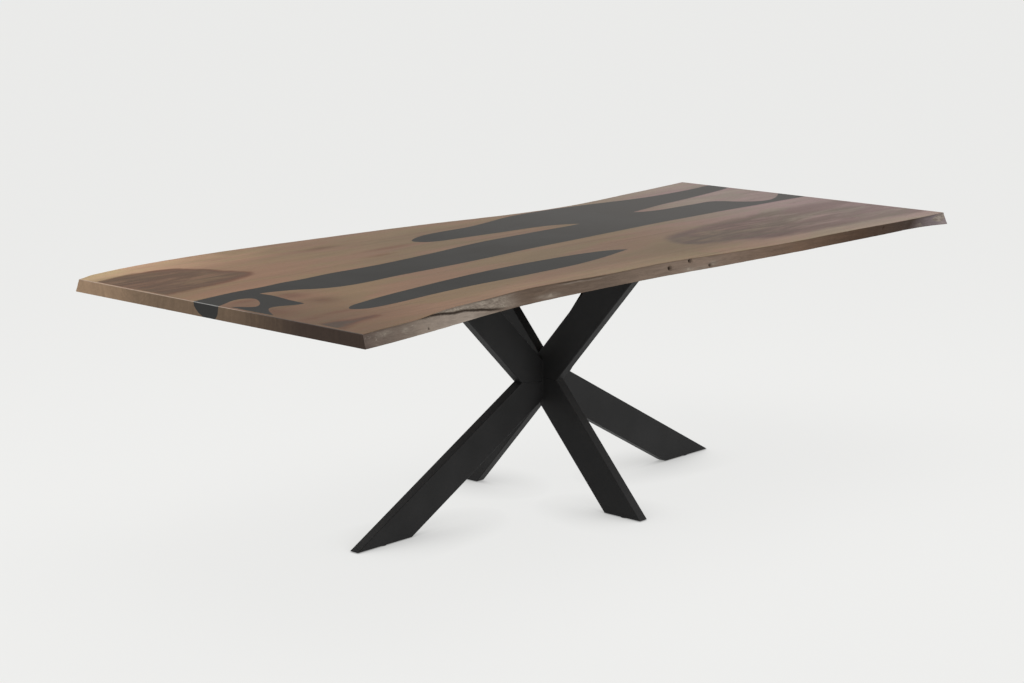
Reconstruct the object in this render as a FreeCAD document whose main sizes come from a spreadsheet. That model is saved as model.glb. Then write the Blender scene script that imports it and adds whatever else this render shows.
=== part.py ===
import FreeCAD, Part
import math
import os
import Sketcher
from FreeCAD import Placement, Rotation, Vector

# A live-edge walnut and black resin dining table on a crossed steel base.
# X runs along the table, Y across it and Z up. The origin is on the floor, midway between the feet.

doc = FreeCAD.newDocument("river_table")
sizes = doc.addObject("Spreadsheet::Sheet", "Sizes")

DRIVING_SIZES = (
    # tabletop
    ("table_height", 755.0),
    ("table_length", 2500.0),
    ("table_width", 1152.0),
    ("top_thickness", 35.0),
    ("casting_draft", 7.0),
    # rectangular tube of the base
    ("tube_depth", 100.0),
    ("tube_width", 32.0),
    ("tube_wall", 3.0),
    ("tube_corner", 2.5),
    # crossed base
    ("waist_height", 362.0),
    ("waist_reach_long", 105.0),
    ("waist_reach_short", 68.0),
    ("foot_reach_long", 760.0),
    ("foot_reach_short", 384.0),
    ("head_reach_long", 471.0),
    ("head_reach_short", 377.0),
    # head plates, which carry the top
    ("plate_thickness", 5.0),
    ("plate_length", 200.0),
    ("plate_width", 120.0),
    ("plate_corner", 12.0),
    ("bolt_end_margin", 30.0),
    ("bolt_side_margin", 15.0),
    ("bolt_slot_length", 16.0),
    ("bolt_slot_width", 9.0),
    # bolts, washers and threaded inserts
    ("bolt_diameter", 8.0),
    ("bolt_length", 25.0),
    ("bolt_head_diameter", 14.0),
    ("bolt_head_height", 4.4),
    ("bolt_socket", 5.0),
    ("bolt_socket_depth", 2.6),
    ("washer_diameter", 20.0),
    ("washer_thickness", 1.6),
    ("washer_bore", 8.6),
    ("insert_diameter", 12.0),
    ("insert_length", 20.0),
    ("insert_tip_gap", 1.0),
    # steel channels let into the underside
    ("channel_spacing", 1700.0),
    ("channel_length", 700.0),
    ("channel_width", 40.0),
    ("channel_depth", 12.0),
    ("channel_wall", 3.0),
    ("channel_side_gap", 0.5),
    ("channel_end_gap", 4.0),
    ("screw_end_margin", 50.0),
    ("screw_slot_length", 11.0),
    ("screw_diameter", 5.0),
    ("screw_length", 18.0),
    ("screw_head_diameter", 9.5),
    ("screw_head_height", 3.0),
    # levelling glides under the feet
    ("foot_plate_thickness", 4.0),
    ("glide_pad_diameter", 28.0),
    ("glide_pad_height", 3.0),
    ("glide_flange_diameter", 20.0),
    ("glide_flange_height", 1.5),
    ("glide_stud_diameter", 10.0),
    ("glide_stud_length", 28.0),
    ("weld_nut_across_flats", 17.0),
    ("weld_nut_height", 8.0),
    # fits
    ("running_clearance", 0.05),
    ("cut_overrun", 5.0),
)

for row, (alias, value) in enumerate(DRIVING_SIZES, start=1):
    sizes.set(f"A{row}", alias)
    sizes.set(f"B{row}", str(value))
    sizes.setAlias(f"B{row}", alias)
doc.recompute()

# Derived sizes, worked out by the sheet itself. The base is drawn in elevation, with the reach
# from the axis across and the height up. A stretch is the upright height of a slanted tube for
# one unit of its depth.

KINDS = ("long", "short")
CHANNEL_SIDES = {"left": -1, "right": 1}
SCREWS_PER_CHANNEL = 6
screw_gaps = SCREWS_PER_CHANNEL - 1
worked = doc.addObject("Spreadsheet::Sheet", "Worked")
formulas = [
    ("underside_height", "Sizes.table_height - Sizes.top_thickness"),
    ("head_height", "underside_height - Sizes.plate_thickness"),
    ("washer_height", "head_height - Sizes.washer_thickness"),
    ("web_height", "underside_height + Sizes.channel_depth - Sizes.channel_wall"),
    ("bolt_pitch_along", "Sizes.plate_length - 2 * Sizes.bolt_end_margin"),
    ("bolt_pitch_across", "Sizes.plate_width - 2 * Sizes.bolt_side_margin"),
    ("screw_pitch", f"(Sizes.channel_length - 2 * Sizes.screw_end_margin) / {screw_gaps}"),
]
for kind in KINDS:
    waist_reach = f"Sizes.waist_reach_{kind}"
    foot_reach = f"Sizes.foot_reach_{kind}"
    head_reach = f"Sizes.head_reach_{kind}"
    leg = f"leg_slope_{kind}"
    arm = f"arm_slope_{kind}"
    formulas += [
        (leg, f"(Sizes.waist_height - Sizes.glide_pad_height) / ({foot_reach} - {waist_reach})"),
        (arm, f"(head_height - Sizes.waist_height) / ({head_reach} - {waist_reach})"),
        (f"leg_stretch_{kind}", f"sqrt(1 + {leg} ^ 2)"),
        (f"arm_stretch_{kind}", f"sqrt(1 + {arm} ^ 2)"),
        (f"mitre_slope_{kind}", f"tan((atan({arm}) - atan({leg})) / 2)"),
        (f"foot_centre_{kind}", f"{foot_reach} - Sizes.tube_depth * leg_stretch_{kind} / {leg} / 2"),
        (f"head_centre_{kind}", f"{head_reach} - Sizes.tube_depth * arm_stretch_{kind} / {arm} / 2"),
    ]
for row, (alias, formula) in enumerate(formulas, start=1):
    worked.set(f"A{row}", alias)
    worked.setAlias(f"B{row}", alias)
    worked.set(f"B{row}", f"={formula}")
doc.recompute()


def size(alias):
    return float(getattr(sizes, alias))


def derived(alias):
    return float(getattr(worked, alias))


# Outline tables hold shares: x of the half length, y of the half width. An arris is the edge of
# the upper face and a foot the edge of the underside, point for point.

FRONT_ARRIS_SHARES = (
    (-1.0, -0.984), (-0.93, -0.957), (-0.83, -0.93), (-0.73, -0.865), (-0.61, -0.835), (-0.46, -0.795),
    (-0.33, -0.805), (-0.2, -0.825), (-0.03, -0.825), (0.11, -0.86), (0.25, -0.9), (0.42, -0.925),
    (0.62, -0.93), (0.8, -0.95), (0.9, -0.956), (1.0, -0.948),
)
FRONT_FOOT_SHARES = (
    (-1.0, -1.0), (-0.93, -0.983), (-0.83, -0.954), (-0.73, -0.918), (-0.61, -0.874), (-0.46, -0.838),
    (-0.33, -0.832), (-0.2, -0.834), (-0.03, -0.847), (0.11, -0.868), (0.25, -0.885), (0.42, -0.905),
    (0.62, -0.914), (0.8, -0.92), (0.9, -0.927), (1.0, -0.975),
)
BACK_ARRIS_SHARES = (
    (-1.0, 0.905), (-0.93, 0.94), (-0.86, 0.967), (-0.75, 0.987), (-0.63, 0.987), (-0.52, 0.974),
    (-0.41, 0.949), (-0.3, 0.926), (-0.18, 0.898), (-0.06, 0.868), (0.05, 0.829), (0.17, 0.779),
    (0.29, 0.737), (0.43, 0.714), (0.6, 0.738), (0.79, 0.788), (0.88, 0.81), (1.0, 0.845),
)
BACK_FOOT_SHARES = (
    (-1.0, 0.933), (-0.93, 0.962), (-0.86, 0.982), (-0.75, 0.998), (-0.63, 0.997), (-0.52, 0.986),
    (-0.41, 0.966), (-0.3, 0.943), (-0.18, 0.915), (-0.06, 0.884), (0.05, 0.849), (0.17, 0.797),
    (0.29, 0.756), (0.43, 0.735), (0.6, 0.758), (0.79, 0.812), (0.88, 0.838), (1.0, 0.88),
)

# Each stretch of a casting runs from one sharp corner to the next, anticlockwise seen from above.
PAST_END_SHARE = 1.02
RIVER_SHARES = (
    ((-PAST_END_SHARE, -0.1), (-1.0, -0.092), (-0.971, -0.066), (-0.921, -0.038), (-0.902, -0.062),
     (-0.912, -0.135), (-0.935, -0.195), (-0.955, -0.217), (-0.972, -0.185), (-0.989, -0.143)),
    ((-0.989, -0.143), (-0.991, -0.271), (-0.99, -0.418)),
    ((-0.99, -0.418), (-0.975, -0.365), (-0.96, -0.315), (-0.943, -0.284), (-0.919, -0.287),
     (-0.891, -0.313), (-0.866, -0.316)),
    ((-0.866, -0.316), (-0.864, -0.275), (-0.862, -0.211), (-0.855, -0.126), (-0.853, -0.058),
     (-0.857, -0.002)),
    ((-0.857, -0.002), (-0.833, -0.008), (-0.812, -0.023), (-0.772, -0.06), (-0.754, -0.088),
     (-0.712, -0.13), (-0.676, -0.147), (-0.632, -0.15), (-0.541, -0.137), (-0.466, -0.131),
     (-0.334, -0.124), (-0.181, -0.101), (-0.045, -0.078), (0.05, -0.071), (0.149, -0.06),
     (0.224, -0.053), (0.313, -0.043), (0.404, -0.034), (0.448, -0.032), (0.54, -0.033),
     (0.631, -0.029), (0.716, -0.03), (0.795, -0.036), (0.892, -0.035), (0.96, -0.04),
     (PAST_END_SHARE, -0.042)),
    ((PAST_END_SHARE, -0.042), (PAST_END_SHARE, 0.18)),
    ((PAST_END_SHARE, 0.18), (1.0, 0.148), (0.955, 0.085), (0.908, 0.04), (0.874, 0.03), (0.843, 0.055),
     (0.81, 0.12), (0.79, 0.195), (0.765, 0.236), (0.723, 0.241), (0.66, 0.243), (0.56, 0.25),
     (0.52, 0.27), (0.491, 0.303)),
    ((0.491, 0.303), (0.548, 0.326), (0.637, 0.363), (0.735, 0.391), (0.79, 0.409), (0.856, 0.433),
     (0.9, 0.45), (0.962, 0.476), (1.0, 0.503), (PAST_END_SHARE, 0.517)),
    ((PAST_END_SHARE, 0.517), (PAST_END_SHARE, 0.651)),
    ((PAST_END_SHARE, 0.651), (1.0, 0.646), (0.94, 0.626), (0.854, 0.609), (0.77, 0.604), (0.706, 0.608),
     (0.626, 0.628), (0.553, 0.655), (0.49, 0.678), (0.41, 0.696), (0.334, 0.704), (0.275, 0.704),
     (0.205, 0.685), (0.159, 0.661), (0.1, 0.631), (0.046, 0.612), (-0.055, 0.609), (-0.12, 0.59),
     (-0.165, 0.55), (-0.19, 0.495), (-0.18, 0.445), (-0.152, 0.412), (-0.105, 0.397), (-0.04, 0.385),
     (0.06, 0.363), (0.164, 0.343), (0.222, 0.307), (0.263, 0.252)),
    ((0.263, 0.252), (0.19, 0.246), (0.115, 0.248), (0.04, 0.243), (-0.04, 0.241), (-0.11, 0.231),
     (-0.19, 0.208), (-0.28, 0.18), (-0.37, 0.159), (-0.46, 0.143), (-0.54, 0.141), (-0.62, 0.14),
     (-0.69, 0.126), (-0.75, 0.126), (-0.8, 0.113), (-0.865, 0.112), (-0.93, 0.098), (-1.0, 0.075),
     (-PAST_END_SHARE, 0.07)),
    ((-PAST_END_SHARE, 0.07), (-PAST_END_SHARE, -0.1)),
)
FRONT_POOL_SHARES = (
    ((0.057, -0.452), (0.03, -0.415), (0.0, -0.391), (-0.04, -0.373), (-0.09, -0.36), (-0.19, -0.348),
     (-0.286, -0.346), (-0.37, -0.354), (-0.451, -0.369), (-0.521, -0.387), (-0.594, -0.409),
     (-0.665, -0.431), (-0.738, -0.459), (-0.796, -0.488), (-0.833, -0.52), (-0.845, -0.555),
     (-0.831, -0.591), (-0.805, -0.607), (-0.761, -0.607), (-0.712, -0.599), (-0.642, -0.582),
     (-0.548, -0.567), (-0.47, -0.562), (-0.387, -0.564), (-0.295, -0.561), (-0.22, -0.557),
     (-0.155, -0.547), (-0.1, -0.53), (-0.05, -0.509), (0.0, -0.483), (0.057, -0.452)),
)
# The river's left end is rounded below. Each shoulder of wood has an outline at the sawn end, as shares
# across the table and down through the slab, and a tip further in.
RIVER_SHOULDERS = (
    (((0.144, 0.12), (0.064, 0.12), (0.05, 0.38), (0.029, 0.67), (0.001, 0.9), (-0.022, 1.1), (0.144, 1.1)),
     (-0.9, 0.12)),
    (((-0.13, 0.4), (-0.087, 0.4), (-0.081, 0.6), (-0.073, 0.78), (-0.063, 0.95), (-0.053, 1.1),
      (-0.13, 1.1)), (-0.94, -0.08)),
)

DIRECTIONS = {"right": 0, "back": 90, "left": 180, "front": 270}
LONG_WAY = ("right", "left")

nodes = {}


# Small helpers

def keep(label, feature):
    feature.Label = label
    nodes[label] = feature
    return feature


def set_shape(name, shape):
    feature = doc.addObject("Part::Feature", name)
    feature.Shape = shape
    return feature


def kind_of(direction):
    return "long" if direction in LONG_WAY else "short"


def turned(direction, along, across, height):
    """The place that lies along and across a base direction, in the table's own axes."""
    return Rotation(Vector(0, 0, 1), DIRECTIONS[direction]).multVec(Vector(along, across, height))


def bound_cylinder(name, radius, height, place):
    """A cylinder along Z; place holds the expressions of its foot point."""
    cylinder = doc.addObject("Part::Cylinder", name)
    cylinder.setExpression("Radius", radius)
    cylinder.setExpression("Height", height)
    for axis, expression in zip("xyz", place):
        cylinder.setExpression(f".Placement.Base.{axis}", expression)
    return cylinder


def joined(name, first, second, kind="Part::Fuse"):
    """Joins two features, or with Part::Cut takes the second from the first."""
    feature = doc.addObject(kind, name)
    feature.Base = first
    feature.Tool = second
    return feature


def copies(label, master, places):
    """Identical fasteners, as one group of separate solids."""
    solids = []
    for place in places:
        solid = master.Shape.copy()
        solid.translate(place)
        solids.append(solid)
    return keep(label, set_shape(label, Part.makeCompound(solids)))


# Places that several pieces share

def bolt_places(height):
    for direction in DIRECTIONS:
        centre = derived(f"head_centre_{kind_of(direction)}")
        for along in (-1, 1):
            for across in (-1, 1):
                yield turned(direction, centre + along * derived("bolt_pitch_along") / 2,
                             across * derived("bolt_pitch_across") / 2, height)


def screw_rows():
    return [number - screw_gaps / 2 for number in range(SCREWS_PER_CHANNEL)]


def screw_places(height):
    for side in CHANNEL_SIDES.values():
        for row in screw_rows():
            yield Vector(side * size("channel_spacing") / 2, row * derived("screw_pitch"), height)


# Tabletop: one slab shape, which the resin castings cut into boards

def top_point(share, height):
    return Vector(share[0] * size("table_length") / 2, share[1] * size("table_width") / 2, height)


def curve_through(points):
    """Edges of one smooth curve, an edge for each gap between points."""
    if len(points) == 2:
        return [Part.LineSegment(points[0], points[1]).toShape()]
    curve = Part.BSplineCurve()
    curve.interpolate(points)
    knots = curve.getKnots()
    return [curve.toShape(start, end) for start, end in zip(knots, knots[1:])]


def closed_wire(stretches):
    return Part.Wire([edge for stretch in stretches for edge in curve_through(stretch)])


def slab_wire(front_shares, back_shares, height):
    front = [top_point(share, height) for share in front_shares]
    back = [top_point(share, height) for share in reversed(back_shares)]
    return closed_wire([front, [front[-1], back[0]], back, [back[-1], front[0]]])


def drawn_in(stretches, distance):
    """Moves each point of a closed anticlockwise outline inwards, for a casting's slanted sides."""
    moved = []
    for number, stretch in enumerate(stretches):
        before = stretches[number - 1][-2]
        after = stretches[(number + 1) % len(stretches)][1]
        ring = [before] + stretch + [after]
        points = []
        for place in range(1, len(ring) - 1):
            chord_in = (ring[place] - ring[place - 1]).normalize()
            chord_out = (ring[place + 1] - ring[place]).normalize()
            along = chord_in + chord_out
            inward = Vector(-along.y, along.x, 0).normalize()
            points.append(ring[place] + inward * distance)
        moved.append(points)
    return moved


def casting_loft(stretch_shares):
    upper_height = size("table_height")
    upper = [[top_point(share, upper_height) for share in stretch] for stretch in stretch_shares]
    lower = drawn_in(upper, size("casting_draft"))
    for stretch in lower:
        for point in stretch:
            point.z = derived("underside_height")
    return Part.makeLoft([closed_wire(lower), closed_wire(upper)], True, True)


def river_shoulder(outline, tip):
    """Wood that rounds one lower corner of the river at the left end, and runs out at its tip."""
    def place(x_share, y_share, depth_share):
        height = size("table_height") - depth_share * size("top_thickness")
        return top_point((x_share, y_share), height)

    corners = [place(-PAST_END_SHARE, across, depth) for across, depth in outline]
    wire = Part.makePolygon(corners + corners[:1])
    return Part.makeLoft([wire, Part.Vertex(place(*tip, outline[-1][1]))], True, True)


def make_underside_cuts():
    """Grooves for the channels, holes for the inserts and pilot holes for the screws."""
    cuts = []
    for side, sign in CHANNEL_SIDES.items():
        groove = doc.addObject("Part::Box", f"groove_{side}")
        groove.setExpression("Length", "Sizes.channel_width + 2 * Sizes.channel_side_gap")
        groove.setExpression("Width", "Sizes.channel_length + 2 * Sizes.channel_end_gap")
        groove.setExpression("Height", "Sizes.channel_depth + Sizes.cut_overrun")
        near_side = f"{sign} * Sizes.channel_spacing / 2 - Sizes.channel_width / 2 - Sizes.channel_side_gap"
        groove.setExpression(".Placement.Base.x", near_side)
        groove.setExpression(".Placement.Base.y", "-Sizes.channel_length / 2 - Sizes.channel_end_gap")
        groove.setExpression(".Placement.Base.z", "Worked.underside_height - Sizes.cut_overrun")
        cuts.append(groove)
    insert_hole = bound_cylinder(
        "insert_hole", "Sizes.insert_diameter / 2 + Sizes.running_clearance",
        "Sizes.insert_length + Sizes.insert_tip_gap + Sizes.cut_overrun", ("0", "0", "0"))
    pilot_hole = bound_cylinder(
        "pilot_hole", "Sizes.screw_diameter / 2 + Sizes.running_clearance",
        "Sizes.screw_length + Sizes.insert_tip_gap", ("0", "0", "0"))
    doc.recompute()
    start_height = derived("underside_height") - size("cut_overrun")
    for name, master, places in (
            ("insert_holes", insert_hole, bolt_places(start_height)),
            ("pilot_holes", pilot_hole, screw_places(derived("web_height")))):
        holes = [master.Shape.translated(place) for place in places]
        cuts.append(set_shape(name, Part.makeCompound(holes)))
    tool = doc.addObject("Part::MultiFuse", "underside_cuts")
    tool.Shapes = cuts
    return tool


def make_tabletop():
    slab = set_shape("slab_blank", Part.makeLoft([
        slab_wire(FRONT_FOOT_SHARES, BACK_FOOT_SHARES, derived("underside_height")),
        slab_wire(FRONT_ARRIS_SHARES, BACK_ARRIS_SHARES, size("table_height")),
    ], True, True))
    shoulders = [river_shoulder(outline, tip) for outline, tip in RIVER_SHOULDERS]
    river = set_shape("river_blank", casting_loft(RIVER_SHARES).cut(shoulders))
    pool = set_shape("pool_blank", casting_loft(FRONT_POOL_SHARES))
    wood = slab.Shape.cut([river.Shape, pool.Shape])
    front, tongue, back = sorted(wood.Solids, key=lambda solid: solid.CenterOfMass.y)
    pieces = {
        "walnut_front_board": front,
        "walnut_end_tongue": tongue,
        "walnut_back_board": back,
        "river_casting": slab.Shape.common(river.Shape),
        "pool_casting": slab.Shape.common(pool.Shape),
    }
    tool = make_underside_cuts()
    for label, shape in pieces.items():
        blank = set_shape(f"{label}_blank", shape)
        keep(label, joined(label, blank, tool, "Part::Cut"))


# Sketches bound to the sheets

def new_body(label):
    return keep(label, doc.addObject("PartDesign::Body", label))


def new_sketch(body, name, role):
    sketch = body.newObject("Sketcher::SketchObject", name)
    plane = next(plane for plane in body.Origin.OriginFeatures if plane.Role == role)
    sketch.AttachmentSupport = [(plane, "")]
    sketch.MapMode = "FlatFace"
    return sketch


def bind(sketch, constraint, expression):
    number = sketch.addConstraint(constraint)
    sketch.setExpression(f"Constraints[{number}]", expression)


def bind_point(sketch, geometry, end, across, up):
    point = sketch.getPoint(geometry, end)
    bind(sketch, Sketcher.Constraint("DistanceX", -1, 1, geometry, end, point.x), across)
    bind(sketch, Sketcher.Constraint("DistanceY", -1, 1, geometry, end, point.y), up)


def polygon(body, name, role, corners):
    """A closed outline whose corners are pairs of expressions. It starts as a regular one."""
    sketch = new_sketch(body, name, role)
    count = len(corners)
    start = []
    for place in range(count):
        angle = 2 * math.pi * place / count
        start.append(Vector(math.cos(angle), math.sin(angle), 0) * size("tube_depth"))
    for place in range(count):
        sketch.addGeometry(Part.LineSegment(start[place], start[(place + 1) % count]))
    for place in range(count):
        sketch.addConstraint(Sketcher.Constraint("Coincident", place, 2, (place + 1) % count, 1))
    for place, (across, up) in enumerate(corners):
        bind_point(sketch, place, 1, across, up)
    return sketch


def circle(body, name, across, up, radius):
    sketch = new_sketch(body, name, "XY_Plane")
    start_radius = size("tube_wall")
    sketch.addGeometry(Part.Circle(Vector(size("tube_depth"), 0, 0), Vector(0, 0, 1), start_radius))
    bind_point(sketch, 0, 3, across, up)
    bind(sketch, Sketcher.Constraint("Radius", 0, start_radius), radius)
    return sketch


def slots(body, name, centres, half_run, radius, along_x):
    """Round-ended slots, each two arcs joined by two straight sides."""
    sketch = new_sketch(body, name, "XY_Plane")
    start_radius = size("tube_wall")
    reach = Vector(start_radius, 0, 0) if along_x else Vector(0, start_radius, 0)
    side = Vector(-reach.y, reach.x, 0)
    quarter = math.pi / 2
    turn = 0 if along_x else quarter
    for number, (across, up) in enumerate(centres):
        centre = Vector(size("tube_depth") * number, 0, 0)
        first = 4 * number
        for place, sign in enumerate((1, -1)):
            round_end = Part.Circle(centre + reach * sign, Vector(0, 0, 1), start_radius)
            start_angle = turn - sign * quarter
            sketch.addGeometry(Part.ArcOfCircle(round_end, start_angle, start_angle + 2 * quarter))
            shift = f" + {sign} * {half_run}"
            ends = (across + shift, up) if along_x else (across, up + shift)
            bind_point(sketch, first + place, 3, *ends)
            bind(sketch, Sketcher.Constraint("Radius", first + place, start_radius), radius)
        sketch.addGeometry(Part.LineSegment(centre + reach + side, centre - reach + side))
        sketch.addGeometry(Part.LineSegment(centre - reach - side, centre + reach - side))
        for one, other in ((0, 2), (2, 1), (1, 3), (3, 0)):
            sketch.addConstraint(Sketcher.Constraint("Tangent", first + one, 2, first + other, 1))
    return sketch


def pad(body, sketch, length, both_ways=False):
    feature = body.newObject("PartDesign::Pad", f"{sketch.Name}_pad")
    feature.Profile = sketch
    feature.SideType = "Symmetric" if both_ways else "One side"
    feature.setExpression("Length", length)
    return feature


def pocket(body, sketch, length=None):
    """Cuts both ways from the sketch: to a length, or through everything."""
    feature = body.newObject("PartDesign::Pocket", f"{sketch.Name}_pocket")
    feature.Profile = sketch
    feature.SideType = "Symmetric"
    if length:
        feature.setExpression("Length", length)
    else:
        feature.Type = "ThroughAll"
    return feature


def round_edges(body, feature, direction, radius):
    """Rounds the edges of a pad that run in one direction."""
    doc.recompute()
    names = []
    for number, edge in enumerate(feature.Shape.Edges, start=1):
        along = (edge.Vertexes[-1].Point - edge.Vertexes[0].Point).normalize()
        if along.cross(direction).Length < PARALLEL_SHARE:
            names.append(f"Edge{number}")
    fillet = body.newObject("PartDesign::Fillet", f"{feature.Name}_round")
    fillet.Base = (feature, names)
    fillet.setExpression("Radius", radius)


PARALLEL_SHARE = 1e-6


def place_body(body, direction, height="0"):
    body.Placement = Placement(Vector(0, 0, 0), Rotation(Vector(0, 0, 1), DIRECTIONS[direction]))
    body.setExpression(".Placement.Base.z", height)


# Crossed base: four legs and four upper arms, mitred in pairs at the waist

class Tube:
    """Expressions for one slanted tube. It leaves the waist downwards as a leg, or upwards."""

    def __init__(self, part, direction):
        kind = kind_of(direction)
        self.direction = direction
        self.waist = f"Sizes.waist_reach_{kind}"
        self.slope = f"Worked.{part}_slope_{kind}"
        self.stretch = f"Worked.{part}_stretch_{kind}"
        self.mitre_slope = f"Worked.mitre_slope_{kind}"
        if part == "leg":
            self.side = "-"
            self.end_reach = f"Sizes.foot_reach_{kind}"
            self.end_height = "Sizes.glide_pad_height"
            self.rise = f"(Sizes.waist_height - {self.end_height})"
        else:
            self.side = "+"
            self.end_reach = f"Sizes.head_reach_{kind}"
            self.end_height = "Worked.head_height"
            self.rise = f"({self.end_height} - Sizes.waist_height)"

    def inner_reach(self):
        """The short tubes meet on the axis, and the long ones stop against their sides."""
        return "Sizes.tube_width / 2" if self.direction in LONG_WAY else "0"

    def height_at(self, reach, inset):
        """Height of a line that lies an inset deep below the tube's outer face."""
        drop = f"({self.slope} * ({reach} - {self.waist}) + ({inset}) * {self.stretch})"
        return f"Sizes.waist_height {self.side} {drop}"

    def reach_at(self, rise, inset):
        """Reach of the same line, a given rise away from the waist."""
        return f"{self.waist} + ({rise} - ({inset}) * {self.stretch}) / {self.slope}"

    def run(self):
        """Direction of the tube in elevation."""
        kind = kind_of(self.direction)
        down = self.side == "-"
        end_reach = size(f"foot_reach_{kind}") if down else size(f"head_reach_{kind}")
        end_height = size("glide_pad_height") if down else derived("head_height")
        along = end_reach - size(f"waist_reach_{kind}")
        return Vector(along, 0, end_height - size("waist_height")).normalize()


OUTER_WALL = "Sizes.tube_wall"
INNER_WALL = "Sizes.tube_depth - Sizes.tube_wall"
HOLLOW_WIDTH = "Sizes.tube_width - 2 * Sizes.tube_wall"


def make_tube(label, part, direction):
    tube = Tube(part, direction)
    body = new_body(label)
    start = tube.inner_reach()
    outline = polygon(body, f"{label}_outline", "XZ_Plane", (
        (tube.waist, "Sizes.waist_height"),
        (tube.end_reach, tube.end_height),
        (tube.reach_at(tube.rise, "Sizes.tube_depth"), tube.end_height),
        (start, tube.height_at(start, "Sizes.tube_depth")),
        (start, f"Sizes.waist_height - ({tube.waist} - {start}) * {tube.mitre_slope}"),
    ))
    solid = pad(body, outline, "Sizes.tube_width", both_ways=True)
    round_edges(body, solid, tube.run(), "Sizes.tube_corner")
    far_rise = f"({tube.rise} + Sizes.cut_overrun)"
    far_height = f"{tube.end_height} {tube.side} Sizes.cut_overrun"
    near = f"({start} - Sizes.cut_overrun)"
    hollow = polygon(body, f"{label}_hollow", "XZ_Plane", (
        (near, tube.height_at(near, OUTER_WALL)),
        (tube.reach_at(far_rise, OUTER_WALL), far_height),
        (tube.reach_at(far_rise, INNER_WALL), far_height),
        (near, tube.height_at(near, INNER_WALL)),
    ))
    pocket(body, hollow, HOLLOW_WIDTH)
    place_body(body, direction)


def make_head_plate(direction):
    kind = kind_of(direction)
    label = f"head_plate_{direction}"
    body = new_body(label)
    centre = f"Worked.head_centre_{kind}"
    ends = [f"{centre} {sign} Sizes.plate_length / 2" for sign in "-+"]
    sides = [f"{sign} Sizes.plate_width / 2" for sign in "-+"]
    outline = polygon(body, f"{label}_outline", "XY_Plane", (
        (ends[0], sides[0]), (ends[1], sides[0]), (ends[1], sides[1]), (ends[0], sides[1])))
    solid = pad(body, outline, "Sizes.plate_thickness")
    round_edges(body, solid, Vector(0, 0, 1), "Sizes.plate_corner")
    centres = []
    for along in "-+":
        for across in "-+":
            centres.append((f"{centre} {along} Worked.bolt_pitch_along / 2",
                            f"{across} Worked.bolt_pitch_across / 2"))
    half_run = "(Sizes.bolt_slot_length - Sizes.bolt_slot_width) / 2"
    # The slots run across the table, so that the boards can swell and shrink on the base.
    holes = slots(body, f"{label}_slots", centres, half_run, "Sizes.bolt_slot_width / 2",
                  along_x=direction not in LONG_WAY)
    pocket(body, holes)
    place_body(body, direction, "Worked.head_height")


def make_foot_plate(direction):
    """Closes the foot of a leg from inside, flush with the cut, and takes the glide."""
    tube = Tube("leg", direction)
    label = f"foot_plate_{direction}"
    body = new_body(label)
    upper_rise = f"({tube.rise} - Sizes.foot_plate_thickness)"
    upper_height = f"{tube.end_height} + Sizes.foot_plate_thickness"
    outline = polygon(body, f"{label}_outline", "XZ_Plane", (
        (tube.reach_at(tube.rise, OUTER_WALL), tube.end_height),
        (tube.reach_at(upper_rise, OUTER_WALL), upper_height),
        (tube.reach_at(upper_rise, INNER_WALL), upper_height),
        (tube.reach_at(tube.rise, INNER_WALL), tube.end_height),
    ))
    pad(body, outline, HOLLOW_WIDTH, both_ways=True)
    hole = circle(body, f"{label}_hole", f"Worked.foot_centre_{kind_of(direction)}", "0",
                  "Sizes.glide_stud_diameter / 2 + Sizes.running_clearance")
    pocket(body, hole)
    place_body(body, direction)


# Levelling glides: a steel stud with a flange, pressed into a plastic pad

def glide_place(direction, height):
    sine = {"back": 1, "front": -1}.get(direction, 0)
    cosine = {"right": 1, "left": -1}.get(direction, 0)
    centre = f"Worked.foot_centre_{kind_of(direction)}"
    return (f"{cosine} * {centre}", f"{sine} * {centre}", height)


def make_glide(direction):
    flange_foot = "Sizes.glide_pad_height - Sizes.glide_flange_height"
    place = glide_place(direction, flange_foot)
    stud = bound_cylinder(f"stud_shank_{direction}", "Sizes.glide_stud_diameter / 2",
                          "Sizes.glide_stud_length", place)
    flange = bound_cylinder(f"stud_flange_{direction}", "Sizes.glide_flange_diameter / 2",
                            "Sizes.glide_flange_height", place)
    keep(f"glide_stud_{direction}", joined(f"glide_stud_{direction}", stud, flange))
    pad_blank = bound_cylinder(f"pad_blank_{direction}", "Sizes.glide_pad_diameter / 2",
                               "Sizes.glide_pad_height", glide_place(direction, "0"))
    recess = bound_cylinder(f"pad_recess_{direction}",
                            "Sizes.glide_flange_diameter / 2 + Sizes.running_clearance",
                            "Sizes.glide_flange_height + Sizes.cut_overrun", place)
    keep(f"glide_pad_{direction}", joined(f"glide_pad_{direction}", pad_blank, recess, "Part::Cut"))


def make_weld_nuts():
    blank = doc.addObject("Part::Prism", "weld_nut_blank")
    blank.Polygon = 6
    blank.setExpression("Circumradius", "Sizes.weld_nut_across_flats / 2 / cos(30)")
    blank.setExpression("Height", "Sizes.weld_nut_height")
    bore_length = "Sizes.weld_nut_height + 2 * Sizes.cut_overrun"
    bore = bound_cylinder("weld_nut_bore", "Sizes.glide_stud_diameter / 2 + Sizes.running_clearance",
                          bore_length, ("0", "0", "-Sizes.cut_overrun"))
    master = joined("weld_nut", blank, bore, "Part::Cut")
    doc.recompute()
    height = size("glide_pad_height") + size("foot_plate_thickness")
    places = [turned(direction, derived(f"foot_centre_{kind_of(direction)}"), 0, height)
              for direction in DIRECTIONS]
    copies("weld_nuts", master, places)


# Fasteners between base and top

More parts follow.
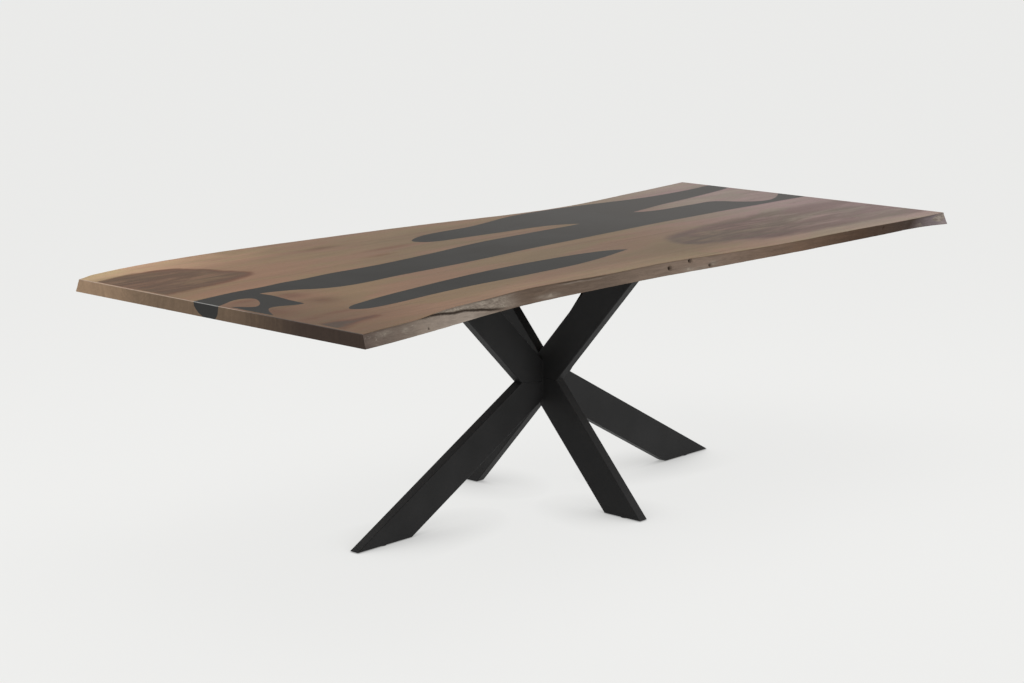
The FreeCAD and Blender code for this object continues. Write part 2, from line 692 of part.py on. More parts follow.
def make_base_bolts():
    """Low-headed bolts with a hexagon socket, seen from below, standing on their heads at zero."""
    shank = bound_cylinder("bolt_shank", "Sizes.bolt_diameter / 2", "Sizes.bolt_length", ("0", "0", "0"))
    head = bound_cylinder("bolt_head", "Sizes.bolt_head_diameter / 2", "Sizes.bolt_head_height",
                          ("0", "0", "-Sizes.bolt_head_height"))
    socket = doc.addObject("Part::Prism", "bolt_socket")
    socket.Polygon = 6
    socket.setExpression("Circumradius", "Sizes.bolt_socket / 2 / cos(30)")
    socket.setExpression("Height", "Sizes.bolt_socket_depth + Sizes.cut_overrun")
    socket.setExpression(".Placement.Base.z", "-Sizes.bolt_head_height - Sizes.cut_overrun")
    master = joined("bolt", joined("bolt_blank", shank, head), socket, "Part::Cut")
    doc.recompute()
    copies("base_bolts", master, bolt_places(derived("washer_height")))


def make_base_washers():
    blank = bound_cylinder("washer_blank", "Sizes.washer_diameter / 2", "Sizes.washer_thickness",
                           ("0", "0", "0"))
    bore_length = "Sizes.washer_thickness + 2 * Sizes.cut_overrun"
    bore = bound_cylinder("washer_bore", "Sizes.washer_bore / 2", bore_length,
                          ("0", "0", "-Sizes.cut_overrun"))
    master = joined("washer", blank, bore, "Part::Cut")
    doc.recompute()
    copies("base_washers", master, bolt_places(derived("washer_height")))


def make_threaded_inserts():
    blank = bound_cylinder("insert_blank", "Sizes.insert_diameter / 2", "Sizes.insert_length",
                           ("0", "0", "0"))
    bore_length = "Sizes.insert_length + 2 * Sizes.cut_overrun"
    bore = bound_cylinder("insert_bore", "Sizes.bolt_diameter / 2 + Sizes.running_clearance", bore_length,
                          ("0", "0", "-Sizes.cut_overrun"))
    master = joined("insert", blank, bore, "Part::Cut")
    doc.recompute()
    copies("threaded_inserts", master, bolt_places(derived("underside_height")))


# Steel channels across the underside

def make_channel(side):
    label = f"stiffening_channel_{side}"
    body = new_body(label)
    half = "Sizes.channel_width / 2"
    inner_half = f"({half} - Sizes.channel_wall)"
    roof = "Worked.underside_height + Sizes.channel_depth"
    profile = polygon(body, f"{label}_profile", "XZ_Plane", (
        (f"-{half}", "Worked.underside_height"),
        (f"-{half}", roof),
        (half, roof),
        (half, "Worked.underside_height"),
        (inner_half, "Worked.underside_height"),
        (inner_half, "Worked.web_height"),
        (f"-{inner_half}", "Worked.web_height"),
        (f"-{inner_half}", "Worked.underside_height"),
    ))
    pad(body, profile, "Sizes.channel_length", both_ways=True)
    centres = [("0", f"{row} * Worked.screw_pitch") for row in screw_rows()]
    holes = slots(body, f"{label}_slots", centres, "(Sizes.screw_slot_length - Sizes.screw_diameter) / 2",
                  "Sizes.screw_diameter / 2 + Sizes.channel_side_gap", along_x=False)
    pocket(body, holes)
    body.setExpression(".Placement.Base.x", f"{CHANNEL_SIDES[side]} * Sizes.channel_spacing / 2")


def make_channel_screws():
    shank = bound_cylinder("screw_shank", "Sizes.screw_diameter / 2", "Sizes.screw_length", ("0", "0", "0"))
    head = bound_cylinder("screw_head", "Sizes.screw_head_diameter / 2", "Sizes.screw_head_height",
                          ("0", "0", "-Sizes.screw_head_height"))
    master = joined("screw", shank, head)
    doc.recompute()
    copies("channel_screws", master, screw_places(derived("web_height")))


# The whole table

make_tabletop()
for side in CHANNEL_SIDES:
    make_channel(side)
make_channel_screws()
make_threaded_inserts()
make_base_bolts()
make_base_washers()
for direction in DIRECTIONS:
    make_tube(f"upper_arm_{direction}", "arm", direction)
    make_tube(f"leg_{direction}", "leg", direction)
    make_head_plate(direction)
    make_foot_plate(direction)
    make_glide(direction)
make_weld_nuts()
doc.recompute()

for feature in doc.Objects:
    if "Invalid" in feature.State or "Error" in feature.State:
        raise RuntimeError(f"{feature.Name} failed")
    if feature.TypeId == "PartDesign::Pocket":
        if feature.Shape.Volume >= feature.BaseFeature.Shape.Volume:
            raise RuntimeError(f"{feature.Name} cuts nothing")

os.makedirs("parts", exist_ok=True)
for label, feature in nodes.items():
    if feature.Shape.isNull() or not feature.Shape.isValid():
        raise RuntimeError(f"{label} has no valid shape")
    feature.Shape.exportStep(f"parts/{label}.step")
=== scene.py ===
import math
import bmesh
import bpy
import numpy as np
from bpy.props import FloatProperty, FloatVectorProperty, PointerProperty
from mathutils import Matrix, Vector, noise
from mathutils.geometry import delaunay_2d_cdt


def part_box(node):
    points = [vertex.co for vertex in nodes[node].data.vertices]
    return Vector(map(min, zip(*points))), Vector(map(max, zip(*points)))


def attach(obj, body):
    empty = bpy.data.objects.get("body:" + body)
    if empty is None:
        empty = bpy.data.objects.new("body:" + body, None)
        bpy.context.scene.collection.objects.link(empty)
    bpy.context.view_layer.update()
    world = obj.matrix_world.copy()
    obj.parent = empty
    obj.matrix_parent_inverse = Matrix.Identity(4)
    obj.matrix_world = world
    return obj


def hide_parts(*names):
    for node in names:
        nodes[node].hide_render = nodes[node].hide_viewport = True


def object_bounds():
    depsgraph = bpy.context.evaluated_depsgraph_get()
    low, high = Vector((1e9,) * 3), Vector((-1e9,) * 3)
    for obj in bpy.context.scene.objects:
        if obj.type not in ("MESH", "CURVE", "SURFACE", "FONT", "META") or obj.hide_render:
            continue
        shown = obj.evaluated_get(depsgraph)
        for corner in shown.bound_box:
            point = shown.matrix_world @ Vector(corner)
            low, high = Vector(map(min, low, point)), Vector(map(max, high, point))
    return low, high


bl_info = {
    "name": "Live-edge river table",
    "version": (1, 0, 0),
    "blender": (4, 5, 0),
    "location": "3D View > Sidebar > River table",
    "description": "Dresses a walnut and black resin table on a crossed steel base",
    "category": "Object",
}

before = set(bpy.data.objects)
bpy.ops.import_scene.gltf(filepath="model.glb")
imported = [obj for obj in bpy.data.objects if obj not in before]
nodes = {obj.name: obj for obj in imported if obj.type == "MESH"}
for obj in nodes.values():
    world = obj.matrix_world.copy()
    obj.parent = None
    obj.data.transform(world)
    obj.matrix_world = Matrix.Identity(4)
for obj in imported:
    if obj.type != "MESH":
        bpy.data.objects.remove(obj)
cad_low, cad_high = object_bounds()

MM = 0.001
TOUCHING = 1e-3 * MM  # corners nearer than this are one corner
ON_CUT = 1e-4 * MM  # corners nearer than this lie on a cutting plane
NO_LENGTH = 1e-18  # keeps an edge without length from dividing by nothing

# Sizes that the frame gives

half_length = cad_high.x
half_width = max(-cad_low.y, cad_high.y)
top_height = cad_high.z
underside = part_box("walnut_front_board")[0].z
top_thickness = top_height - underside
tube_half_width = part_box("leg_right")[1].y


# Colours and sizes that a user would change

def colour(name, description, default):
    return FloatVectorProperty(name=name, description=description, default=default, subtype="COLOR",
                               min=0, max=1)


def length(name, description, default):
    return FloatProperty(name=name, description=description, default=default, unit="LENGTH")


def share(name, description, default):
    return FloatProperty(name=name, description=description, default=default, min=0, max=1)


def angle(name, description, default):
    return FloatProperty(name=name, description=description, default=default, subtype="ANGLE")


class TopSettings(bpy.types.PropertyGroup):
    column_spacing: length("Edge column spacing", "Distance between mesh columns along a live edge", 2 * MM)
    face_spacing: length("Face grid", "Distance between mesh points inside the flat faces", 14 * MM)
    arris_ease: length("Arris ease", "How far the sanded arris is rounded", 2.5 * MM)
    end_ease: length("End chamfer", "Leg of the small chamfer along the sawn ends", 1.3 * MM)
    edge_wander: length("Edge wander", "How far the arris strays from its smooth line", 3 * MM)
    corner_wear: length("Corner wear", "How far the back edge draws in at the left end", 12 * MM)
    bark_depth: length("Bark relief", "Depth of the weathered left part of the front edge", 4.5 * MM)
    plain_depth: length("Plain relief", "Depth of the smoother parts of the live edges", 2.2 * MM)
    left_walnut: colour("Walnut, left end", "Warm ground tone at the left end", (0.172, 0.100, 0.056))
    middle_walnut: colour("Walnut, middle", "Ground tone half way along", (0.129, 0.084, 0.054))
    # The right end's tone is partly the wood's own and partly a painted sheen: greyer where the top mirrors
    # the pale room at a grazing view.
    right_walnut_and_sheen: colour("Walnut, right end", "Cool ground tone at the right end", (0.201, 0.154, 0.148))
    # This dark tone also paints a thin band of shade just below the arris of the live edges.
    dark_walnut_and_shade: colour("Dark walnut", "Pores, rings and thin streaks", (0.060, 0.034, 0.021))
    brown_heart: colour("Brown heartwood", "Heartwood near the left end", (0.057, 0.0255, 0.0098))
    grey_heart: colour("Grey heartwood", "Heartwood near the right end", (0.070, 0.045, 0.039))
    stain: colour("Stain", "Reddish brown of small knots and streaks", (0.080, 0.029, 0.011))
    # The sapwood tone also paints the pool of light at the back left of the top.
    sapwood: colour("Sapwood", "Pale wood beside the live edges", (0.46, 0.32, 0.200))
    # Pale and dark end grain: the wood's own tones, made stronger by painted light at the back and painted
    # shade at the front.
    pale_lit_end: colour("Pale end grain", "Sawn ends beside the back edge", (0.37, 0.25, 0.160))
    middle_end: colour("End grain", "Sawn ends half way across", (0.174, 0.118, 0.076))
    dark_shaded_end: colour("Dark end grain", "Sawn ends beside the front edge", (0.044, 0.027, 0.019))
    # Painted highlight: the chamfer along the sawn ends is made pale to stand in for the light it catches.
    walnut_chamfer_highlight: colour("Bare walnut", "Pale chamfer along the sawn ends", (0.37, 0.275, 0.21))
    rough_patch: colour("Rough patch", "Torn wood above the long split", (0.195, 0.162, 0.132))
    pale_chip: colour("Pale chips", "Bare flecks of the live edge", (0.34, 0.295, 0.245))
    # Painted shade: this dark tone is laid into splits, holes and end checks, and into the darkest part of
    # the front left corner.
    deep_shade: colour("Deep split", "Bottom of splits and small holes", (0.030, 0.019, 0.012))


class ResinSettings(bpy.types.PropertyGroup):
    tone: colour("Resin", "Black pigment of the castings", (0.0135, 0.0125, 0.0110))
    # Painted reflection: this lighter tone stands in for the pale room mirrored in the resin towards the
    # right end.
    far_reflection_tone: colour("Resin haze", "The same polish towards the right end", (0.050, 0.046, 0.043))
    sawn_tone: colour("Sawn resin", "Duller resin of the sawn ends", (0.041, 0.041, 0.0405))
    # Painted highlight on the resin's chamfer along the sawn ends.
    resin_chamfer_highlight: colour("Rubbed resin", "Pale chamfer along the sawn ends", (0.26, 0.26, 0.255))
    roughness: share("Roughness", "Satin polish of the castings", 0.42)


class SteelSettings(bpy.types.PropertyGroup):
    tone: colour("Powder coat", "Matt black coat of the base", (0.0145, 0.0145, 0.0149))
    bead_radius: length("Weld bead", "Radius of the painted weld beads", 1.6 * MM)
    ripple_pitch: length("Bead ripple", "Distance between ripples of a bead", 2.4 * MM)


class StageSettings(bpy.types.PropertyGroup):
    pale: colour("Pale floor", "Colour of floor and background", (0.856, 0.857, 0.846))
    shadow_reach: length("Shadow reach", "How near a piece darkens the floor", 0.18)
    shadow_depth: share("Shadow depth", "How much a fully covered spot darkens", 0.62)
    floor_reach: length("Floor reach", "Half the side of the floor", 60.0)
    focal_length: FloatProperty(name="Focal length", description="Lens of the camera in mm", default=81.1)
    camera_place: FloatVectorProperty(name="Camera place", description="Where the camera stands",
                                      default=(-4.8516, -4.3666, 1.8300), subtype="TRANSLATION")
    heading: angle("Heading", "Turn of the view from the table's length", 0.7463)
    pitch: angle("Pitch", "How far the camera looks down", 0.2062)
    roll: angle("Roll", "Tilt of the camera about its view", 0.0029)


# Mesh helpers

def link(obj):
    bpy.context.scene.collection.objects.link(obj)
    return obj


def mesh_object(name, bm, materials):
    mesh = bpy.data.meshes.new(name)
    bm.to_mesh(mesh)
    bm.free()
    for material in materials:
        mesh.materials.append(material)
    return link(bpy.data.objects.new(name, mesh))


def paint(node, material):
    """Gives a carried-over node its finish."""
    for place in nodes[node].material_slots:
        place.material = material


def finish_piece(piece, body, slot, *replaced):
    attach(piece, body)
    if replaced:
        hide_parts(*replaced)


def merged_copy(node):
    """A closed copy of a node's mesh, whose loose triangles share their corners."""
    bm = bmesh.new()
    bm.from_mesh(nodes[node].data)
    bmesh.ops.remove_doubles(bm, verts=bm.verts, dist=TOUCHING)
    return bm


def islands(node):
    """Lowest and highest corner of each separate solid in a node."""
    bm = merged_copy(node)
    left = set(bm.verts)
    boxes = []
    while left:
        group = [left.pop()]
        for vert in group:
            for edge in vert.link_edges:
                other = edge.other_vert(vert)
                if other in left:
                    left.remove(other)
                    group.append(other)
        points = np.array([vert.co for vert in group])
        boxes.append((Vector(points.min(0)), Vector(points.max(0))))
    bm.free()
    return sorted(boxes, key=lambda pair: (round(pair[0].x, 4), round(pair[0].y, 4)))


def smooth_step(low, high, value):
    part = np.clip((np.asarray(value, float) - low) / (high - low), 0, 1)
    return part * part * (3 - 2 * part)


def noise_field(points, seed):
    """Smooth noise from -1 to 1 at each point of an array."""
    shift = Vector((seed, seed * 1.7, seed * 0.3))
    return np.array([noise.noise(Vector(point) + shift) for point in points])


# Live edges, read from the boards' smooth outlines

# The castings stay inside this share of the half width, and the live edges outside it.
LIVE_SHARE = 0.709
IN_PLANE = 0.02 * MM
EASE_ROWS = 4
FACE_ROWS = 18
FOOT_ROWS = 3

# Waves of the arris: how many in a metre, and their share of the wander
ARRIS_WAVES = ((3, 0.4), (11, 0.5), (34, 0.35))

# Length over which the back edge draws in at the left end
CORNER_LENGTH = 0.07

# The relief fades over these shares of the face towards its two arrises, and over this length
# towards the sawn ends, where only a part of it is left.
TOP_FADE, FOOT_FADE = 0.12, 0.06
END_FADE, END_RELIEF = 0.03, 0.35

# Patterns of the relief: how often each repeats in a metre and down the face, and its seed
RELIEF = {
    "fibre": (7, 5, 1), "ridge": (16, 7, 2), "grit": (60, 14, 3), "crack": (24, 1, 4), "groove": (24, 1, 5),
    "splinters": (70, 9, 6), "fine splinters": (170, 20, 7), "tip facets": (20, 2.2, 8),
    "tip chips": (16, 2.0, 9),
}

# How much each even pattern adds to the wear, what is taken off again, and the bulge half way down
FIBRE_WEIGHT, RIDGE_WEIGHT, GRIT_WEIGHT, WEAR_BASE, BULGE = 0.55, 0.3, 0.25, 0.35, 0.5
FINE_SPLINTERS, TIP_CHIP_LIFT = 0.6, 0.1

# How far a split strays from its line, as a share of the face
SPLIT_STRAY = 0.04

# Levels between which a mask sets in: painted shade in the crack and in a hole, torn wood below
# the arris and above the crack, the step below it (both in its half widths), chips of the tip, and
# the painted shade of all pits below the arris
CRACK_SHADE, HOLE_SHADE = (0.2, 0.75), (0.3, 0.8)
TORN_DOWN, TORN_ABOVE, STEP_BELOW = (0.02, 0.1), (-1.2, 0.0), (0, 1.5)
TIP_CHIPS, PIT_SHADE_DOWN = (0.05, 0.35), (0.0, 0.02)

# Strength of the painted shade at the groove's bottom and of the painted highlight on its lip, which lies
# this many half widths below
GROOVE_SHADE, GROOVE_HIGHLIGHT, HIGHLIGHT_BELOW = 0.55, 0.6, 2.2

# The long crack and the shallow groove of the front edge: how far along in metres and how far down
# the face as a share; then the half width as a share, and the depth
CRACK_SHARES = (
    (-1.08, -0.02), (-1.03, 0.02), (-0.975, 0.09), (-0.94, 0.18), (-0.9, 0.33), (-0.853, 0.40),
    (-0.83, 0.45), (-0.775, 0.62), (-0.74, 0.75), (-0.695, 0.86), (-0.64, 0.97),
)
GROOVE_SHARES = ((-0.47, 0.09), (-0.385, 0.07), (-0.315, 0.09), (-0.25, 0.10))
CRACK_HALF, CRACK_DEPTH = 0.085, 8 * MM
GROOVE_HALF, GROOVE_DEPTH = 0.045, 1.5 * MM

# The wood steps back below the crack, and is torn above it between these two places.
STEP_DEPTH, TORN_DEPTH = 2.5 * MM, 3 * MM
TORN_START, TORN_END = (-0.98, -0.9), (-0.7, -0.6)

# Small holes: how far along in metres, how far down as a share, and radius
WORM_HOLES = (
    (-0.014, 0.54, 5.5 * MM), (0.068, 0.22, 5.0 * MM), (0.142, 0.78, 4.5 * MM), (0.93, 0.3, 2.5 * MM),
    (-1.004, 0.82, 2.6 * MM),
)
HOLE_DEPTH = 2.4  # in radii

# Pale chipped patches: how far along in metres, how far down as a share, and half length
PALE_PATCHES = (
    (-1.095, 0.45, 0.014), (-1.17, 0.35, 0.03), (0.058, 0.80, 0.022), (0.155, 0.62, 0.016),
    (0.10, 0.9, 0.03), (-0.50, 0.75, 0.04),
)
PATCH_HALF, PATCH_STRENGTH = 0.16, 0.9

# The broken tip at the right end
TIP_START, TIP_DEPTH = 1.10, 3.5 * MM
TIP_FADE, TIP_BARK_FADE = 0.06, 0.07

# Where weathered bark is left: how much, and the places between which it fades
FRONT_BARK, FRONT_BARK_FADE = 0.7, (-0.62, -0.1)
BACK_BARK, BACK_BARK_MORE, BACK_BARK_FADE = 0.25, 0.35, (-0.9, 0.2)


class LiveEdge:
    """One long side of the top: its smooth lines, and the relief that weather and bark left."""

    def __init__(self, node, outward, settings, seed):
        self.outward = outward
        self.settings = settings
        self.seed = seed
        self.limit = cad_high.y if outward > 0 else -cad_low.y
        self.lines = {}
        for name, height in (("arris", top_height), ("foot", underside)):
            along = np.array([
                [vert.co.x, vert.co.y] for vert in nodes[node].data.vertices
                if abs(vert.co.z - height) < IN_PLANE and vert.co.y * outward > LIVE_SHARE * half_width])
            _, kept = np.unique(np.round(along[:, 0], 5), return_index=True)
            self.lines[name] = along[kept]

    def line(self, name, x):
        points = self.lines[name]
        return np.interp(x, points[:, 0], points[:, 1])

    def within(self, y):
        """Keeps the edge inside the widest line of the top."""
        return self.outward * np.minimum(self.outward * y, self.limit)

    def grid(self):
        """Points of the edge by column and row, and the masks of its marks."""
        settings, outward = self.settings, self.outward
        count = round(2 * half_length / settings.column_spacing) + 1
        x = np.linspace(-half_length, half_length, count)
        flat = np.zeros(count)
        sway = sum(noise_field(np.stack([x * rate, flat, flat], 1), self.seed + rate)
                   * (part * settings.edge_wander) for rate, part in ARRIS_WAVES)
        if outward > 0:
            sway += settings.corner_wear * (1 - smooth_step(0.0, CORNER_LENGTH, x + half_length))
        arris = self.within(self.line("arris", x) - outward * sway)
        foot = self.within(self.line("foot", x) - outward * sway)
        ease = settings.arris_ease
        near = ease / np.hypot(foot - arris, top_thickness)
        corners = {
            "top_in": (arris - outward * ease, flat + top_height),
            "arris": (arris, flat + top_height),
            "face_in": (arris + (foot - arris) * near, top_height - top_thickness * near),
            "face_out": (foot - (foot - arris) * near, underside + top_thickness * near),
            "foot": (foot, flat + underside),
            "foot_in": (foot - outward * ease, flat + underside),
        }

        def bend(names, part):
            """A row on the curve round a corner, or on the straight line between two."""
            weights = (1 - part, part)
            if len(names) == 3:
                weights = ((1 - part) ** 2, 2 * part * (1 - part), part ** 2)
            return [sum(weight * np.array(corners[name][axis]) for weight, name in zip(weights, names))
                    for axis in (0, 1)]

        rows = [bend(("top_in", "arris", "face_in"), row / EASE_ROWS) for row in range(EASE_ROWS)]
        rows += [bend(("face_in", "face_out"), row / FACE_ROWS) for row in range(FACE_ROWS + 1)]
        rows += [bend(("face_out", "foot", "foot_in"), (row + 1) / FOOT_ROWS) for row in range(FOOT_ROWS)]
        y = np.stack([row[0] for row in rows], 1)
        z = np.stack([row[1] for row in rows], 1)
        down = np.clip((top_height - z) / top_thickness, 0, 1)
        x = np.repeat(x[:, None], y.shape[1], 1)
        cut, masks = self.relief(x, down)
        hold = smooth_step(0.0, TOP_FADE, down) * smooth_step(0.0, FOOT_FADE, 1 - down)
        hold[:, 0] = 0
        hold[:, -1] = 0
        near_end = smooth_step(0.0, END_FADE, half_length - np.abs(x))
        y = self.within(y - outward * cut * hold * (END_RELIEF + (1 - END_RELIEF) * near_end))
        return np.stack([x, y, z], 2), masks

    def field(self, x, down, name):
        rate_along, rate_down, seed = RELIEF[name]
        points = np.stack([x.ravel() * rate_along, down.ravel() * rate_down, np.zeros(x.size)], 1)
        return noise_field(points, self.seed + seed).reshape(x.shape)

    def along_split(self, x, down, shares, half_share, name):
        """How far below a split each point lies, in half widths, and how open the split is."""
        places, levels = np.array(shares).T
        centre = np.interp(x, places, levels) + SPLIT_STRAY * self.field(x, down, name)
        fade = (places[-1] - places[0]) / 4
        openness = (smooth_step(places[0], places[0] + fade, x)
                    * smooth_step(-places[-1], fade - places[-1], -x))
        return (down - centre) / half_share, openness

    def relief(self, x, down):
        """How deep the edge is worn at each point, and the masks of the painted shade in its splits and of
        its pale wood and painted highlight.
        """
        plain_depth, bark_depth = self.settings.plain_depth, self.settings.bark_depth
        fibre = 0.5 + 0.5 * self.field(x, down, "fibre")
        ridge = 1 - np.abs(self.field(x, down, "ridge"))
        grit = 0.5 + 0.5 * self.field(x, down, "grit")
        depth = plain_depth + (bark_depth - plain_depth) * self.bark(x)
        cut = depth * (FIBRE_WEIGHT * fibre + RIDGE_WEIGHT * ridge + GRIT_WEIGHT * grit - WEAR_BASE)
        cut += plain_depth * BULGE * np.sin(np.pi * down)
        pit = lens = np.zeros(x.shape)
        if self.outward < 0:
            cut, pit, lens = self.front_marks(x, down, cut)
        return cut, {"pit": pit * smooth_step(*PIT_SHADE_DOWN, down), "lens": lens, "down": down}

    def front_marks(self, x, down, cut):
        """Adds the crack, torn wood, groove with its painted highlight, small holes, chipped patches and
        broken tip.
        """
        below, openness = self.along_split(x, down, CRACK_SHARES, CRACK_HALF, "crack")
        gap = np.exp(-below ** 2) * openness
        cut = cut + (CRACK_DEPTH * gap + STEP_DEPTH * smooth_step(*STEP_BELOW, below) * openness)
        # Painted shade in the crack.
        pit = smooth_step(*CRACK_SHADE, gap)
        lens = (smooth_step(*TORN_START, x) * (1 - smooth_step(*TORN_END, x))
                * (1 - smooth_step(*TORN_ABOVE, below)) * smooth_step(*TORN_DOWN, down))
        splinters = np.abs(self.field(x, down, "splinters"))
        splinters += FINE_SPLINTERS * np.abs(self.field(x, down, "fine splinters"))
        cut += TORN_DEPTH * lens * splinters
        below, openness = self.along_split(x, down, GROOVE_SHARES, GROOVE_HALF, "groove")
        groove = np.exp(-below ** 2) * openness
        cut += GROOVE_DEPTH * groove
        pit = np.maximum(pit, GROOVE_SHADE * groove)
        # Painted highlight on the lip below the groove, carried in the pale-wood mask.
        lens = np.maximum(lens, GROOVE_HIGHLIGHT * np.exp(-(below - HIGHLIGHT_BELOW) ** 2) * openness)
        for place, level, radius in WORM_HOLES:
            apart = np.hypot(x - place, (down - level) * top_thickness)
            hole = np.exp(-(apart / radius) ** 2)
            cut += HOLE_DEPTH * radius * hole
            pit = np.maximum(pit, smooth_step(*HOLE_SHADE, hole))
        for place, level, half in PALE_PATCHES:
            apart = np.hypot((x - place) / half, (down - level) / PATCH_HALF)
            lens = np.maximum(lens, PATCH_STRENGTH * np.exp(-apart ** 2))
        tip = smooth_step(TIP_START, TIP_START + TIP_FADE, x)
        cut += TIP_DEPTH * tip * np.abs(self.field(x, down, "tip facets"))
        chips = self.field(x, down, "tip chips") + TIP_CHIP_LIFT
        lens = np.maximum(lens, tip * smooth_step(*TIP_CHIPS, chips))
        return cut, pit, lens

    def bark(self, x):
        """Where weathered bark is left on the edge, from 0 to 1."""
        if self.outward < 0:
            tip = smooth_step(TIP_START, TIP_START + TIP_BARK_FADE, x)
            return np.clip(FRONT_BARK * (1 - smooth_step(*FRONT_BARK_FADE, x)) + tip, 0, 1)
        return BACK_BARK + BACK_BARK_MORE * (1 - smooth_step(*BACK_BARK_FADE, x))


# Ground tones of the live edges: share of the length from the left end, and colour

FRONT_EDGE_TONES = (
    (0.0, (0.110, 0.082, 0.068)), (0.05, (0.165, 0.128, 0.104)), (0.088, (0.228, 0.184, 0.150)),
    (0.17, (0.250, 0.208, 0.175)), (0.22, (0.155, 0.117, 0.090)), (0.27, (0.100, 0.068, 0.048)),
    (0.34, (0.130, 0.092, 0.068)), (0.46, (0.174, 0.128, 0.098)), (0.552, (0.212, 0.156, 0.121)),
    (0.704, (0.146, 0.091, 0.060)), (0.82, (0.068, 0.037, 0.021)), (0.93, (0.038, 0.021, 0.013)),
    (0.965, (0.160, 0.128, 0.132)), (1.0, (0.250, 0.208, 0.218)),
)
BACK_EDGE_TONES = (
    (0.0, (0.260, 0.190, 0.130)), (0.3, (0.190, 0.140, 0.100)), (0.6, (0.150, 0.104, 0.074)),
    (0.85, (0.180, 0.135, 0.105)), (1.0, (0.150, 0.112, 0.090)),
)

# Dark heartwood patches of the boards, as shares of the half length and half width

HEART_SHARES = (
    ((-1.03, 0.765), (-0.935, 0.79), (-0.89, 0.797), (-0.844, 0.799), (-0.80, 0.78), (-0.765, 0.725),
     (-0.748, 0.64), (-0.735, 0.55), (-0.715, 0.47), (-0.70, 0.41), (-0.76, 0.362), (-0.81, 0.33),
     (-0.855, 0.322), (-0.91, 0.297), (-0.97, 0.288), (-1.03, 0.285)),
    ((0.215, -0.41), (0.26, -0.345), (0.322, -0.312), (0.411, -0.287), (0.522, -0.257), (0.642, -0.241),
     (0.767, -0.23), (0.865, -0.243), (0.964, -0.262), (1.03, -0.27), (1.03, -0.86), (0.9, -0.825),
     (0.789, -0.806), (0.684, -0.802), (0.599, -0.793), (0.483, -0.79), (0.391, -0.755),
     (0.346, -0.70), (0.276, -0.667), (0.214, -0.62), (0.19, -0.51)),
    ((-1.03, -0.70), (-0.963, -0.698), (-0.94, -0.712), (-0.91, -0.728), (-0.873, -0.733), (-0.845, -0.748),
     (-0.887, -0.757), (-0.93, -0.782), (-0.976, -0.826), (-1.03, -0.86)),
)

# Small knots and streaks: place, half length and half width, in the same shares

STAIN_SHARES = (
    (-0.818, -0.315, 0.030, 0.070), (-0.825, -0.135, 0.026, 0.07), (-0.965, -0.37, 0.03, 0.10),
    (-0.965, -0.590, 0.040, 0.014), (-0.932, -0.088, 0.040, 0.024), (-0.40, 0.69, 0.05, 0.03),
    (-0.905, -0.25, 0.012, 0.05), (-0.89, -0.56, 0.06, 0.018), (-0.37, 0.325, 0.04, 0.02),
    (-0.28, 0.45, 0.08, 0.02),
)


def rounded(outline):
    """Cuts the corners of a closed outline, twice over."""
    for _ in range(2):
        following = np.roll(outline, -1, 0)
        outline = np.stack([0.75 * outline + 0.25 * following, 0.25 * outline + 0.75 * following], 1)
        outline = outline.reshape(-1, 2)
    return outline


def inside(points, starts, ends):
    """Even-odd test of points against closed rings of straight edges."""
    result = np.zeros(len(points), bool)
    for (x1, y1), (x2, y2) in zip(starts, ends):
        if y1 == y2:
            continue
        crosses = (y1 > points[:, 1]) != (y2 > points[:, 1])
        at = x1 + (points[:, 1] - y1) * (x2 - x1) / (y2 - y1)
        result ^= crosses & (points[:, 0] < at)
    return result


def distance_to(points, start, end):
    """Distance of points to one straight edge."""
    along = end - start
    part = np.clip(((points - start) @ along) / max(along @ along, NO_LENGTH), 0, 1)
    return np.hypot(*(points - start - part[:, None] * along).T)


def depth_inside(points, outline):
    """Distance to a closed outline, positive inside."""
    starts, ends = outline, np.roll(outline, -1, 0)
    nearest = np.min([distance_to(points, start, end) for start, end in zip(starts, ends)], 0)
    return np.where(inside(points, starts, ends), nearest, -nearest)


def figure_attributes(mesh, edge):
    """Stores where the heartwood, stains and sapwood lie, for the walnut materials."""
    count = len(mesh.vertices)
    points = np.empty(count * 3)
    mesh.vertices.foreach_get("co", points)
    plan = points.reshape(-1, 3)[:, :2]
    scale = np.array([half_length, half_width])
    values = {"heart": np.full(count, -1.0), "stain": np.zeros(count), "rim": np.full(count, 1.0)}
    for shares in HEART_SHARES:
        values["heart"] = np.maximum(values["heart"], depth_inside(plan, rounded(np.array(shares) * scale)))
    for spot in STAIN_SHARES:
        apart = (plan - np.array(spot[:2]) * scale) / (np.array(spot[2:]) * scale)
        values["stain"] = np.maximum(values["stain"], np.exp(-(apart ** 2).sum(1)))
    if edge:
        values["rim"] = edge.outward * (edge.line("arris", plan[:, 0]) - plan[:, 1])
    for name, field in values.items():
        attribute = mesh.attributes.new(name, "FLOAT", "POINT")
        attribute.data.foreach_set("value", field.astype(np.float32))


# Boards: the carried-over walls and grooves, with new edges and flat faces

# The flat faces that are made anew: the top, the underside and the two sawn ends
PLANES = (("z", 1), ("z", -1), ("x", 1), ("x", -1))
AXES = {"x": 0, "y": 1, "z": 2}

# Material slots of a board
FACE, LIVE, SAWN, HIGHLIGHT_SLOT = 0, 1, 2, 3

# Grid points keep this share of the spacing away from a face's edges.
CLEARANCE = 0.35

# What the triangulation is asked for: triangles inside the edges, and points this close merged
INSIDE_EDGES, MERGED = 1, 1e-9


def plane_level(axis, side):
    if axis == "z":
        return top_height if side > 0 else underside
    return side * half_length


def in_plane(vert, axis, level):
    return abs(vert.co[AXES[axis]] - level) < IN_PLANE


def open_edges(bm, axis, level):
    return [edge for edge in bm.edges
            if len(edge.link_faces) < 2 and all(in_plane(vert, axis, level) for vert in edge.verts)]


